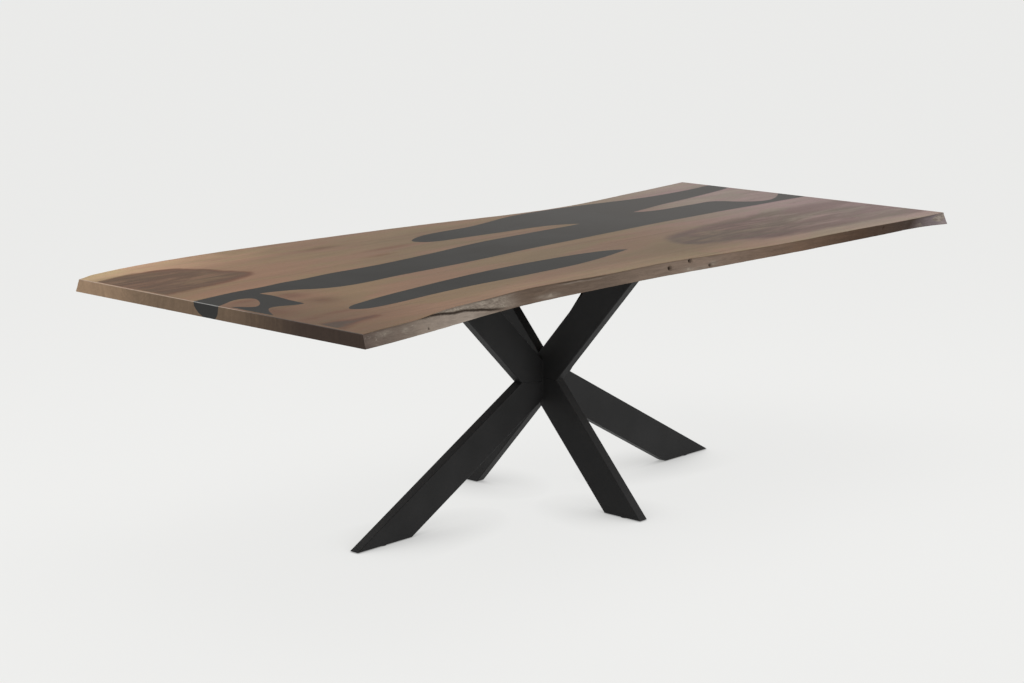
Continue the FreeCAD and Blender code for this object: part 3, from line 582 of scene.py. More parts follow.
def close_corners(bm):
    """Draws the straight corner lines between the end faces and the flat faces."""
    for side in (-1, 1):
        for flat in (-1, 1):
            level = plane_level("z", flat)
            found = {vert for edge in open_edges(bm, "x", side * half_length) for vert in edge.verts
                     if in_plane(vert, "z", level)}
            row = sorted(found, key=lambda vert: vert.co.y)
            for first, second in zip(row[::2], row[1::2]):
                if not bm.edges.get((first, second)):
                    bm.edges.new((first, second))


def inner_grid(flat, starts, ends, spacing):
    """An even grid of points inside a flat face, clear of its edges."""
    low, high = flat.min(0), flat.max(0)
    steps = [np.arange(low[k] + spacing, high[k], spacing) for k in (0, 1)]
    grid = np.stack(np.meshgrid(*steps), -1).reshape(-1, 2)
    grid = grid[inside(grid, starts, ends)]
    clear = np.full(len(grid), True)
    for start, end in zip(starts, ends):
        reach = np.hypot(*(end - start)) / 2 + spacing
        close = np.hypot(*(grid - (start + end) / 2).T) < reach
        if close.any():
            clear[close] &= distance_to(grid[close], start, end) > CLEARANCE * spacing
    return grid[clear]


def fill_plane(bm, axis, side, spacing, slot):
    """Fills one flat face between its open edges with well-shaped triangles."""
    level = plane_level(axis, side)
    edges = open_edges(bm, axis, level)
    if not edges:
        return
    verts = list({vert for edge in edges for vert in edge.verts})
    order = {vert: number for number, vert in enumerate(verts)}
    across, up = [number for number in range(3) if number != AXES[axis]]
    flat = np.array([(vert.co[across], vert.co[up]) for vert in verts])
    pairs = np.array([(order[edge.verts[0]], order[edge.verts[1]]) for edge in edges])
    starts, ends = flat[pairs[:, 0]], flat[pairs[:, 1]]
    points = [Vector(point) for point in (*flat, *inner_grid(flat, starts, ends, spacing))]
    links = [tuple(map(int, pair)) for pair in pairs]
    new_points, _, triangles, origins = delaunay_2d_cdt(points, links, [], INSIDE_EDGES, MERGED, True)[:4]
    corners = []
    for point, origin in zip(new_points, origins):
        source = min(origin) if origin else -1
        if 0 <= source < len(verts):
            corners.append(verts[source])
            continue
        place = [0.0, 0.0, 0.0]
        place[AXES[axis]] = level
        place[across], place[up] = point
        corners.append(bm.verts.new(place))
    centres = np.array([sum((new_points[k] for k in tri), Vector((0, 0))) / len(tri) for tri in triangles])
    outward = Vector([side if k == AXES[axis] else 0 for k in range(3)])
    for tri, good in zip(triangles, inside(centres, starts, ends)):
        ring = [corners[k] for k in tri]
        if not good or len(set(ring)) < 3:
            continue
        normal = (ring[1].co - ring[0].co).cross(ring[2].co - ring[0].co)
        if normal.dot(outward) < 0:
            ring.reverse()
        bm.faces.new(ring).material_index = slot


def drop_flat_faces(bm, edge):
    """Takes off the flat faces, and the plain facets of the live edge."""
    doomed = []
    for face in bm.faces:
        flat = any(all(in_plane(vert, axis, plane_level(axis, side)) for vert in face.verts)
                   for axis, side in PLANES)
        live = edge and all(vert.co.y * edge.outward > LIVE_SHARE * half_width for vert in face.verts)
        if flat or live:
            doomed.append(face)
    bmesh.ops.delete(bm, geom=doomed, context="FACES")


def add_live_edge(bm, edge):
    points, masks = edge.grid()
    columns, rows = points.shape[:2]
    layers = {name: bm.verts.layers.float.new(name) for name in masks}
    grid = [[bm.verts.new(points[column, row]) for row in range(rows)] for column in range(columns)]
    for name, layer in layers.items():
        for column in range(columns):
            for row in range(rows):
                grid[column][row][layer] = masks[name][column, row]
    for near, far in zip(grid, grid[1:]):
        for row in range(rows - 1):
            ring = [near[row], near[row + 1], far[row + 1], far[row]]
            if edge.outward > 0:
                ring.reverse()
            face = bm.faces.new(ring)
            face.material_index = LIVE if row >= EASE_ROWS - 2 else FACE
            face.smooth = True


def ease_ends(bm, ease, slot):
    """Planes a small chamfer along the top of each sawn end, and closes the cut."""
    for side in (-1, 1):
        outward = Vector((side, 0, 1)).normalized()
        on_cut = Vector((side * half_length, 0, top_height - ease))
        parts = bm.verts[:] + bm.edges[:] + bm.faces[:]
        made = bmesh.ops.bisect_plane(bm, geom=parts, dist=ON_CUT, plane_co=on_cut, plane_no=outward,
                                      clear_outer=True)
        edges = [item for item in made["geom_cut"]
                 if isinstance(item, bmesh.types.BMEdge) and len(item.link_faces) == 1]
        caps = bmesh.ops.triangle_fill(bm, use_beauty=True, use_dissolve=False, edges=edges, normal=outward)
        for face in caps["geom"]:
            if isinstance(face, bmesh.types.BMFace):
                face.material_index = slot


def make_board(node, edge, settings, materials):
    bm = merged_copy(node)
    drop_flat_faces(bm, edge)
    if edge:
        add_live_edge(bm, edge)
    close_corners(bm)
    for axis, side in PLANES:
        fill_plane(bm, axis, side, settings.face_spacing, FACE if axis == "z" else SAWN)
    loose = [vert for vert in bm.verts if not vert.link_faces]
    bmesh.ops.delete(bm, geom=loose, context="VERTS")
    ease_ends(bm, settings.end_ease, HIGHLIGHT_SLOT)
    piece = mesh_object(f"{node}_dressed", bm, materials)
    figure_attributes(piece.data, edge)
    finish_piece(piece, "table", "walnut", node)


def make_casting(node, ease, materials):
    """The river with the same small chamfer as the boards beside it."""
    bm = merged_copy(node)
    ease_ends(bm, ease, 1)
    finish_piece(mesh_object(f"{node}_dressed", bm, materials), "table", "black_resin", node)


# Node helpers

# Sockets of a Mix node that blends colours
MIX_SHARE, MIX_FIRST, MIX_SECOND, MIX_RESULT = 0, 6, 7, 2

SOCKET_KINDS = {"value": "NodeSocketFloat", "vector": "NodeSocketVector", "geometry": "NodeSocketGeometry"}


def set_socket(tree, socket, value):
    """Links a socket to another, or gives it a number, a colour or a thing."""
    if isinstance(value, bpy.types.NodeSocket):
        tree.links.new(value, socket)
    elif socket.type == "RGBA" and len(value) == 3:
        socket.default_value = (*value, 1.0)
    else:
        socket.default_value = value


def add_node(tree, kind, inputs=(), **settings):
    """Adds a node; inputs are pairs of a socket's name or number and a value or a socket."""
    made = tree.nodes.new(kind)
    for name, value in settings.items():
        setattr(made, name, value)
    for name, value in inputs:
        set_socket(tree, made.inputs[name], value)
    return made


def maths(tree, operation, *values):
    return add_node(tree, "ShaderNodeMath", enumerate(values), operation=operation).outputs[0]


def weighted(tree, start, *parts):
    """Adds parts to a start; each is a value and its weight."""
    for value, weight in parts:
        start = maths(tree, "MULTIPLY_ADD", value, weight, start)
    return start


def product(tree, first, second):
    return maths(tree, "MULTIPLY", first, second)


def remap(tree, value, low, high, to_low=0.0, to_high=1.0):
    inputs = (("Value", value), ("From Min", low), ("From Max", high), ("To Min", to_low),
              ("To Max", to_high))
    return add_node(tree, "ShaderNodeMapRange", inputs, interpolation_type="SMOOTHSTEP").outputs[0]


def blend_colours(tree, part, first, second, kind="MIX"):
    inputs = ((MIX_SHARE, part), (MIX_FIRST, first), (MIX_SECOND, second))
    made = add_node(tree, "ShaderNodeMix", inputs, data_type="RGBA", blend_type=kind, clamp_factor=True)
    return made.outputs[MIX_RESULT]


def laid_over(tree, base, tone, mask, weight):
    """Lays a tone over a base where a mask is, as thickly as the weight says."""
    return blend_colours(tree, product(tree, mask, weight), base, tone)


def dimmed(tree, base, gain):
    return blend_colours(tree, 1.0, base, gain, "MULTIPLY")


def stretched_noise(tree, coordinates, scale, detail=2.0, roughness=0.5, distortion=0.0, shift=(0, 0, 0)):
    """Noise on coordinates that are scaled apart, so that it lies in streaks."""
    mapping = add_node(tree, "ShaderNodeMapping",
                       (("Vector", coordinates), ("Location", shift), ("Scale", scale)))
    inputs = (("Vector", mapping.outputs[0]), ("Scale", 1.0), ("Detail", detail), ("Roughness", roughness),
              ("Distortion", distortion))
    return add_node(tree, "ShaderNodeTexNoise", inputs, noise_dimensions="3D").outputs["Fac"]


def centred(tree, value):
    """Moves noise from about a half to about nothing."""
    return maths(tree, "SUBTRACT", value, 0.5)


def tone_along(tree, part, stops):
    """Colour of a share from 0 to 1, blended between stops."""
    made = add_node(tree, "ShaderNodeValToRGB", (("Fac", part),))
    elements = made.color_ramp.elements
    elements.remove(elements[-1])
    elements[0].position = stops[0][0]
    for place, _ in stops[1:]:
        elements.new(place)
    for element, (_, tone) in zip(elements, stops):
        element.color = (*tone, 1.0)
    return made.outputs["Color"]


def coordinates_of(tree):
    """The place on the piece, and its parts along, across and up."""
    place = add_node(tree, "ShaderNodeTexCoord").outputs["Object"]
    return place, *add_node(tree, "ShaderNodeSeparateXYZ", (("Vector", place),)).outputs


def named_value(tree, name):
    made = add_node(tree, "ShaderNodeAttribute", attribute_name=name, attribute_type="GEOMETRY")
    return made.outputs["Fac"]


def new_tree(kind, name, inputs, outputs):
    """A node tree with its sockets; returns it, what it is given and what it gives out."""
    tree = bpy.data.node_groups.new(name, kind)
    for side, sockets in (("INPUT", inputs), ("OUTPUT", outputs)):
        for socket_name, socket_kind in sockets:
            tree.interface.new_socket(socket_name, in_out=side, socket_type=SOCKET_KINDS[socket_kind])
    return tree, tree.nodes.new("NodeGroupInput").outputs, tree.nodes.new("NodeGroupOutput").inputs


def use_group(tree, group, inputs):
    return add_node(tree, "ShaderNodeGroup", inputs, node_tree=group).outputs


def new_material(name, preview):
    """A material with one Principled shader; returns both and the tree."""
    material = bpy.data.materials.new(name)
    material.use_nodes = True
    material.diffuse_color = (*preview, 1.0)
    tree = material.node_tree
    shader = next(n for n in tree.nodes if n.type == "BSDF_PRINCIPLED")
    return material, shader, tree


def connect(tree, shader, **sockets):
    for name, value in sockets.items():
        set_socket(tree, shader.inputs[name.replace("_", " ")], value)


def bumped(tree, shader, height, distance, strength):
    inputs = (("Height", height), ("Distance", distance), ("Strength", strength))
    connect(tree, shader, Normal=add_node(tree, "ShaderNodeBump", inputs).outputs[0])


# Shared effects

# Noises of the grain: scale along, across and up, then detail, roughness, distortion and shift
GRAIN_NOISES = {
    "Cloud": ((1.6, 7.0, 7.0), 3.0, 0.55, 0.8),
    "Fibre": ((7.0, 300.0, 300.0), 3.0, 0.65),
    "Pores": ((55.0, 1300.0, 1300.0), 1.0, 0.5),
    "Streaks": ((2.6, 34.0, 34.0), 4.0, 0.6, 0.7),
    "Lines": ((1.9, 85.0, 85.0), 2.0, 0.5, 0.4),
    "Tint": ((2.8, 12.0, 12.0), 3.0, 0.6, 0.8, (7.0, 3.0, 0.0)),
}
# The noises that are cut to marks, and the levels between which a mark sets in
GRAIN_CUTS = {"Pores": (0.60, 0.72), "Lines": (0.64, 0.74), "Tint": (0.38, 0.62)}

# Rings round the pith: slow and fine sway, rings in a metre, and the pith's depth and fall along the board
SWAY_SCALE, SWAY_REACH = (1.3, 3.5, 3.5), 0.16
FINE_SWAY_SCALE, FINE_SWAY_REACH = (5.0, 22.0, 22.0), 0.012
RING_RATE = 95.0
PITH_DEPTH, PITH_FALL = 0.10, 0.045


def grain_group():
    """Long walnut grain: slow clouds, growth rings that bow round the pith, streaks, fibres and pores."""
    names = [*GRAIN_NOISES, "Rings"]
    tree, given, result = new_tree(
        "ShaderNodeTree", "walnut grain",
        (("Place", "vector"), ("Pith across", "value"), ("Seed", "value")),
        [(name, "value") for name in names])
    seed = add_node(tree, "ShaderNodeCombineXYZ", (("X", given["Seed"]), ("Y", given["Seed"])))
    coordinates = add_node(tree, "ShaderNodeVectorMath", ((0, given["Place"]), (1, seed.outputs[0])),
                           operation="ADD").outputs[0]
    split = add_node(tree, "ShaderNodeSeparateXYZ", (("Vector", given["Place"]),)).outputs
    across = weighted(
        tree, maths(tree, "SUBTRACT", split["Y"], given["Pith across"]),
        (centred(tree, stretched_noise(tree, coordinates, SWAY_SCALE)), SWAY_REACH),
        (centred(tree, stretched_noise(tree, coordinates, FINE_SWAY_SCALE)), FINE_SWAY_REACH))
    depth = maths(tree, "SUBTRACT", weighted(tree, PITH_DEPTH, (split["X"], PITH_FALL)),
                  maths(tree, "SUBTRACT", split["Z"], top_height))
    squares = [maths(tree, "POWER", maths(tree, "ABSOLUTE", part), 2.0) for part in (across, depth)]
    reach = maths(tree, "SQRT", maths(tree, "ADD", *squares))
    rings = add_node(tree, "ShaderNodeTexNoise",
                     (("W", product(tree, reach, RING_RATE)), ("Scale", 1.0), ("Detail", 3.0),
                      ("Roughness", 0.6)), noise_dimensions="1D")
    tree.links.new(rings.outputs["Fac"], result["Rings"])
    for name, numbers in GRAIN_NOISES.items():
        value = stretched_noise(tree, coordinates, *numbers)
        if name in GRAIN_CUTS:
            value = remap(tree, value, *GRAIN_CUTS[name])
        tree.links.new(value, result[name])
    return tree


def speckle_group():
    """Fine even grit with slow cloudiness, for coats, plastics and polished resin; built once."""
    name = "fine grit"
    made = bpy.data.node_groups.get(name)
    if made:
        return made
    tree, given, result = new_tree(
        "ShaderNodeTree", name, (("Place", "vector"), ("Grain", "value"), ("Cloud", "value")),
        (("Grit", "value"), ("Cloudiness", "value")))
    for scale, out, detail in (("Grain", "Grit", 2.0), ("Cloud", "Cloudiness", 3.0)):
        texture = add_node(tree, "ShaderNodeTexNoise",
                           (("Vector", given["Place"]), ("Scale", given[scale]), ("Detail", detail)))
        tree.links.new(texture.outputs["Fac"], result[out])
    return tree


# Finishes

# Tones of the flat faces. A pair named ALONG, ACROSS, RIM, CHANGE or REACH holds the two places, in
# metres, between which a tone fades in. The other pairs hold its levels or its weights at those places.
# Where the ground turns to the right end's tone, which holds a painted sheen.
RIGHT_SHEEN_ALONG = (0.1 * half_length, half_length)
SAP_RIM, SAP_ALONG, SAP_WEIGHTS = (0.13, 0.01), (-1.1, -0.2), (0.35, 1.0)
# The pale patch at the back left is partly sapwood and partly a painted pool of light from the lamp there.
LIT_SAP_ALONG, LIT_SAP_ACROSS, LIT_SAP_WEIGHT = (-0.50, -1.28), (0.28, 0.56), 0.66
SHADE_ALONG, SHADE_ACROSS, SHADE_WEIGHT = (-0.82, -1.22), (0.06, -0.13), 0.60
HEART_CHANGE, HEART_SOFTNESS = (-0.6, 0.3), (0.005, 0.022)
HEART_ALONG, HEART_WEIGHTS = (0.45, 1.25), (0.95, 0.50)
SWIRL_LEVELS, SWIRL_WEIGHT = (0.42, 0.68), 0.66
SWIRL_RIM, SWIRL_SHARES = (0.0, 0.07), (0.2, 1.0)
OUTLINE_REACH, OUTLINE_ALONG, OUTLINE_WEIGHT = (0.018, 0.0), (-0.2, -0.6), 0.75
STAIN_LEVELS, STAIN_STRENGTH = (-0.3, 0.3), (0.7, 1.0)
STAIN_WEIGHT, LINE_WEIGHT, PORE_WEIGHT, DEEP_WEIGHT = 0.85, 0.42, 0.3, 0.8
RED_TINT, GREEN_TINT = (1.05, 0.97, 0.97), (0.96, 1.02, 0.90)

# Brightness of the figure: where all its noises are dark, and what each one adds
FIGURE_DARKEST = 0.43
FIGURE_GAINS = {"Cloud": 0.40, "Rings": 0.20, "Fibre": 0.20, "Streaks": 0.34}

# Noise that moves the borders, and the swirl of the heartwood: scale, detail, roughness, distortion
WANDER = ((9.0, 26.0, 26.0), 4.0, 0.6, 0.6)
SWIRL = ((3.2, 21.0, 21.0), 4.0, 0.62, 1.6)

# How far the wander moves the borders of sapwood, of the lit sapwood at the back left (sapwood with a
# painted pool of light) and of heartwood
RIM_STRAY, LIT_SAP_STRAY_ALONG, LIT_SAP_STRAY_ACROSS, HEART_STRAY = 0.08, 0.5, 0.15, 0.055


def walnut_face(settings, grain, name, pith, seed, sap_share):
    """Oiled walnut of the flat faces, with heartwood, sapwood and stains where the boards have them, a
    painted pool of light at the back left, and a painted sheen that greys the right end.
    """
    material, shader, tree = new_material(name, settings.middle_walnut)
    place, along, across, _ = coordinates_of(tree)
    figure = use_group(tree, grain, (("Place", place), ("Pith across", pith), ("Seed", seed)))
    wander = centred(tree, stretched_noise(tree, place, *WANDER, (seed, 0, 0)))

    base = blend_colours(tree, remap(tree, along, -half_length, 0.0), settings.left_walnut,
                         settings.middle_walnut)
    # Greyer towards the right end: partly the wood's own tone, partly a painted sheen.
    ground = blend_colours(tree, remap(tree, along, *RIGHT_SHEEN_ALONG), base, settings.right_walnut_and_sheen)

    rim = weighted(tree, named_value(tree, "rim"), (wander, RIM_STRAY))
    sap = product(tree, remap(tree, rim, *SAP_RIM), remap(tree, along, *SAP_ALONG, *SAP_WEIGHTS))
    base = laid_over(tree, ground, settings.sapwood, sap, sap_share)
    # Painted pool of light at the back left, laid on in the sapwood tone over the sapwood there.
    lit_sapwood = product(tree, remap(tree, weighted(tree, along, (wander, LIT_SAP_STRAY_ALONG)), *LIT_SAP_ALONG),
                   remap(tree, weighted(tree, across, (wander, LIT_SAP_STRAY_ACROSS)), *LIT_SAP_ACROSS))
    base = laid_over(tree, base, settings.sapwood, lit_sapwood, LIT_SAP_WEIGHT)
    shade = product(tree, remap(tree, along, *SHADE_ALONG), remap(tree, across, *SHADE_ACROSS))
    base = laid_over(tree, base, settings.brown_heart, shade, SHADE_WEIGHT)

    heart = weighted(tree, named_value(tree, "heart"), (wander, HEART_STRAY))
    softness = remap(tree, along, *HEART_CHANGE, *HEART_SOFTNESS)
    within = remap(tree, maths(tree, "DIVIDE", heart, softness), -1.0, 1.0)
    within = product(tree, within, remap(tree, along, *HEART_ALONG, *HEART_WEIGHTS))
    heartwood = blend_colours(tree, remap(tree, along, *HEART_CHANGE), settings.brown_heart,
                              settings.grey_heart)
    swirl = stretched_noise(tree, place, *SWIRL, (0, seed, 0))
    lively = weighted(tree, SWIRL_WEIGHT, (shade, -SWIRL_WEIGHT))
    lively = product(tree, lively, remap(tree, heart, *SWIRL_RIM, *SWIRL_SHARES))
    heartwood = laid_over(tree, heartwood, ground, remap(tree, swirl, *SWIRL_LEVELS), lively)
    heartwood = laid_over(tree, heartwood, settings.deep_shade, shade, DEEP_WEIGHT)
    base = blend_colours(tree, within, base, heartwood)
    outline = product(tree, remap(tree, maths(tree, "ABSOLUTE", heart), *OUTLINE_REACH),
                      remap(tree, along, *OUTLINE_ALONG, 0.0, OUTLINE_WEIGHT))
    base = blend_colours(tree, outline, base, settings.stain)
    stain = product(tree, named_value(tree, "stain"), remap(tree, wander, *STAIN_LEVELS, *STAIN_STRENGTH))
    base = laid_over(tree, base, settings.stain, stain, STAIN_WEIGHT)

    base = dimmed(tree, base, blend_colours(tree, figure["Tint"], RED_TINT, GREEN_TINT))
    gains = [(figure[part], gain) for part, gain in FIGURE_GAINS.items()]
    base = dimmed(tree, base, weighted(tree, FIGURE_DARKEST, *gains))
    base = laid_over(tree, base, settings.dark_walnut_and_shade, figure["Lines"], LINE_WEIGHT)
    base = laid_over(tree, base, settings.dark_walnut_and_shade, figure["Pores"], PORE_WEIGHT)
    connect(tree, shader, Base_Color=base, Roughness=weighted(tree, 0.50, (figure["Fibre"], 0.10)),
            Specular_IOR_Level=0.10)
    height = maths(tree, "SUBTRACT", product(tree, figure["Fibre"], 0.4), figure["Pores"])
    bumped(tree, shader, height, 0.12 * MM, 0.6)
    return material


# Noises of the sawn ends and of the live edges: scale, detail, roughness and distortion
SAWN_CUT = ((40.0, 90.0, 90.0), 4.0, 0.65, 0.8)
SAWN_BANDS = ((2.0, 16.0, 5.0), 3.0, 0.55, 0.6)
SAWN_CHECKS = ((30.0, 300.0, 14.0), 2.0, 0.6)
LIVE_SHREDS = ((16.0, 60.0, 130.0), 5.0, 0.65, 0.8)
LIVE_FLAKES = ((5.0, 30.0, 40.0), 4.0, 0.6, 1.2)
LIVE_LINES = ((9.0, 120.0, 420.0), 3.0, 0.6, 0.3)
LIVE_CHIPS = ((38.0, 90.0, 130.0), 4.0, 0.6, 0.7)

# Where the sawn ends turn dark towards the front edge, and pale towards the back edge: partly the wood's
# own heartwood and sapwood, partly painted shade at the front and painted light at the back
SAWN_DARK_SHADED, SAWN_PALE_LIT, SAWN_PITH = (0.02, -0.40), (0.12, 0.62), 0.28


def walnut_sawn(settings, grain):
    """Sawn and oiled end grain: ring arcs and short checks, darker towards the front edge and paler towards
    the back edge, partly with painted shade and painted light.
    """
    material, shader, tree = new_material("walnut_sawn_end", settings.middle_end)
    place, _, across, _ = coordinates_of(tree)
    figure = use_group(tree, grain, (("Place", place), ("Pith across", SAWN_PITH), ("Seed", 0.0)))
    cut, bands, checks = [stretched_noise(tree, place, *numbers)
                          for numbers in (SAWN_CUT, SAWN_BANDS, SAWN_CHECKS)]
    across = weighted(tree, across, (centred(tree, bands), 0.18))
    # Painted shade towards the front edge and painted light towards the back edge, over the wood's own
    # tones.
    base = blend_colours(tree, remap(tree, across, *SAWN_DARK_SHADED), settings.middle_end, settings.dark_shaded_end)
    base = blend_colours(tree, remap(tree, across, *SAWN_PALE_LIT), base, settings.pale_lit_end)
    base = dimmed(tree, base, weighted(tree, 0.47, (cut, 0.45), (figure["Rings"], 0.36), (bands, 0.25)))
    base = laid_over(tree, base, settings.deep_shade, remap(tree, checks, 0.70, 0.78), 0.8)
    connect(tree, shader, Base_Color=base, Roughness=0.55, Specular_IOR_Level=0.16)
    bumped(tree, shader, maths(tree, "SUBTRACT", cut, checks), 0.3 * MM, 0.5)
    return material


def chamfer_highlight_finish(name, pale, dark):
    """The small chamfer along a sawn end: a painted highlight on the bare chamfer, fading to the end's
    darker tone towards the front edge.
    """
    material, shader, tree = new_material(name, pale)
    place, _, across, _ = coordinates_of(tree)
    highlight_streaks = stretched_noise(tree, place, (1.0, 60.0, 1.0), 3.0, 0.6)
    across = weighted(tree, across, (centred(tree, highlight_streaks), 0.12))
    # Painted highlight, fading towards the front edge.
    base = blend_colours(tree, remap(tree, across, -0.05, -0.24), pale, dark)
    base = dimmed(tree, base, weighted(tree, 0.7, (highlight_streaks, 0.6)))
    connect(tree, shader, Base_Color=base, Roughness=0.4)
    return material


def walnut_live(settings, name, stops):
    """A natural edge: its tone changes along the table, with pale chips, painted shade in deep splits and
    holes and in a band below the arris, and a painted highlight below the groove.
    """
    material, shader, tree = new_material(name, stops[len(stops) // 2][1])
    place, along, _, _ = coordinates_of(tree)
    along = weighted(tree, 0.5, (along, 0.5 / half_length))
    shreds, flakes, lines, chips = [stretched_noise(tree, place, *numbers)
                                    for numbers in (LIVE_SHREDS, LIVE_FLAKES, LIVE_LINES, LIVE_CHIPS)]
    gain = weighted(tree, 0.20, (shreds, 0.75), (flakes, 0.60), (lines, 0.25))
    base = dimmed(tree, tone_along(tree, along, stops), gain)
    torn_and_highlit = blend_colours(tree, remap(tree, chips, 0.40, 0.66), settings.rough_patch, settings.pale_chip)
    weathered = remap(tree, along, 0.16, 0.06, 0.0, 0.55)
    # Painted shade in a thin band just below the arris.
    shade_under_arris = remap(tree, named_value(tree, "down"), 0.13, 0.03)
    for tone, mask, weight in (
            (settings.pale_chip, remap(tree, chips, 0.58, 0.70), weathered),
            # The pale-wood mask also carries the painted highlight below the groove.
            (torn_and_highlit, named_value(tree, "lens"), 0.75),
            (settings.dark_walnut_and_shade, remap(tree, lines, 0.55, 0.72), 0.28),
            (settings.dark_walnut_and_shade, shade_under_arris, 0.35),
            (settings.deep_shade, named_value(tree, "pit"), 0.94)):
        base = laid_over(tree, base, tone, mask, weight)
    connect(tree, shader, Base_Color=base, Roughness=0.72, Specular_IOR_Level=0.2)
    bumped(tree, shader, weighted(tree, product(tree, shreds, 1.2), (lines, 0.7)), 0.7 * MM, 0.7)
    return material


def gritty(tree, speckle, grain, cloud):
    """Grit and cloudiness of a coat, and how far along the table they lie."""
    place, along, _, _ = coordinates_of(tree)
    made = use_group(tree, speckle, (("Place", place), ("Grain", grain), ("Cloud", cloud)))
    return made["Grit"], remap(tree, made["Cloudiness"], 0.3, 0.7), along


def black_resin(settings, speckle):
    """Polished resin with a painted reflection that lightens it towards the right end, and duller where its
    ends are sawn.
    """
    material, shader, tree = new_material("black_resin", settings.tone)
    grit, cloudy, along = gritty(tree, speckle, 900.0, 3.0)
    # Painted reflection, growing towards the right end.
    far_reflection = remap(tree, along, -0.6 * half_length, half_length)
    base = blend_colours(tree, far_reflection, settings.tone, settings.far_reflection_tone)
    sawn = maths(tree, "GREATER_THAN", maths(tree, "ABSOLUTE", along), half_length - IN_PLANE)
    base = blend_colours(tree, sawn, base, settings.sawn_tone)
    base = dimmed(tree, base, weighted(tree, 0.9, (cloudy, 0.2)))
    roughness = weighted(tree, settings.roughness, (cloudy, 0.05), (grit, 0.03))
    connect(tree, shader, Base_Color=base, Roughness=roughness, Specular_IOR_Level=0.03)
    bumped(tree, shader, grit, 0.02 * MM, 0.3)
    return material


def plain_finish(name, speckle, tone, roughness, metallic=0.0, grain=700.0, lift=1.5, bump=0.05 * MM,
                 specular=0.3):
    """A coat, plating or moulded plastic with its own grit."""
    material, shader, tree = new_material(name, tone)
    grit, cloudy, _ = gritty(tree, speckle, grain, 7.0)
    base = blend_colours(tree, cloudy, tone, tuple(min(1.0, lift * part) for part in tone))
    connect(tree, shader, Base_Color=base, Roughness=weighted(tree, roughness - 0.08, (grit, 0.16)),
            Metallic=metallic, Specular_IOR_Level=specular)
    bumped(tree, shader, grit, bump, 0.5)
    return material


# Geometry trees

def close_tree(tree, geometry, material, result):
    """Ends a geometry tree with real geometry in its material."""
    real = add_node(tree, "GeometryNodeRealizeInstances", (("Geometry", geometry),))
    dressed = add_node(tree, "GeometryNodeSetMaterial",
                       (("Geometry", real.outputs[0]), ("Material", material)))
    tree.links.new(dressed.outputs[0], result["Geometry"])
    return tree


def grown(name, data, tree, sizes):
    """Runs a geometry tree on a mesh or curve, and keeps the outcome as a plain mesh piece."""
    holder = link(bpy.data.objects.new(f"{name}_holder", data))
    modifier = holder.modifiers.new(tree.name, "NODES")
    modifier.node_group = tree
    for item in tree.interface.items_tree:
        if item.in_out == "INPUT" and item.name in sizes:
            modifier[item.identifier] = sizes[item.name]
    graph = bpy.context.evaluated_depsgraph_get()
    mesh = bpy.data.meshes.new_from_object(holder.evaluated_get(graph), depsgraph=graph)
    piece = link(bpy.data.objects.new(name, mesh))
    bpy.data.objects.remove(holder)
    return piece


def set_out_tree(name, part, material):
    """Sets one part out on every point of a mesh, as real geometry."""
    tree, given, result = new_tree(
        "GeometryNodeTree", name, (("Geometry", "geometry"), ("Part size", "value")),
        (("Geometry", "geometry"),))
    info = add_node(tree, "GeometryNodeObjectInfo", (("Object", part),), transform_space="ORIGINAL")
    place = add_node(tree, "GeometryNodeInstanceOnPoints",
                     (("Points", given["Geometry"]), ("Instance", info.outputs["Geometry"]),
                      ("Scale", given["Part size"])))
    return close_tree(tree, place.outputs[0], material, result)


def set_out(name, part_mesh, places, material):
    part = link(bpy.data.objects.new(f"{name}_master", part_mesh))
    cloud = bpy.data.meshes.new(f"{name}_places")
    cloud.from_pydata(places, [], [])
    piece = grown(name, cloud, set_out_tree(f"set out {name}", part, material), {"Part size": 1.0})
    bpy.data.objects.remove(part)
    return piece


# Turned small parts: rings of a round or cornered outline

SEGMENTS = 36
SECTOR = math.pi / 3
LOBES = 6


def ring_points(radius, height, hexagon=False, lobe_depth=0.0):
    points = []
    for number in range(SEGMENTS):
        turn = 2 * math.pi * number / SEGMENTS
        if hexagon:
            reach = radius / math.cos((turn % SECTOR) - SECTOR / 2)
        else:
            reach = radius * (1 + lobe_depth * math.cos(LOBES * turn))
        points.append((reach * math.cos(turn), reach * math.sin(turn), height))
    return points


def domed_rings(inner, outer, rise, shares):
    """Rings of a rounded head, from its recess out to its rim."""
    turns = [part * math.pi / 2 for part in shares]
    return [ring_points(inner + (outer - inner) * math.sin(turn), rise * (1 - math.cos(turn)))
            for turn in turns]


def turned_mesh(name, rings):
    """A closed mesh through rings of equal count, from the lower pole to the upper one."""
    bm = bmesh.new()
    made = [[bm.verts.new(point) for point in ring] for ring in rings]
    for lower, upper in zip(made, made[1:]):
        for number in range(SEGMENTS):
            following = (number + 1) % SEGMENTS
            bm.faces.new((lower[number], lower[following], upper[following], upper[number]))
    bm.faces.new(list(reversed(made[0])))
    bm.faces.new(made[-1])
    bmesh.ops.recalc_face_normals(bm, faces=bm.faces)
    mesh = bpy.data.meshes.new(name)
    bm.to_mesh(mesh)
    bm.free()
    return mesh


def button_bolt_mesh(radius, height):
    """A button-head bolt that hangs below its washer, with a hexagon socket in its domed head."""
    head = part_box("base_washers")[0].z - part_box("base_bolts")[0].z
    shank, socket = 0.57 * radius, 0.36 * radius
    rings = [ring_points(socket * across, up * head, hexagon=True)
             for across, up in ((0.4, 0.55), (1, 0.5), (1, 0.06))]
    rings.append(ring_points(socket * 1.12, 0.0))
    rings += domed_rings(socket * 1.3, radius, 0.72 * head, (0.0, 0.2, 0.4, 0.6, 0.8, 1.0))
    rings += [ring_points(radius, 0.92 * head), ring_points(0.97 * radius, head), ring_points(shank, head),
              ring_points(shank, height - 0.2 * shank), ring_points(0.8 * shank, height)]
    return turned_mesh("button_bolt", rings)


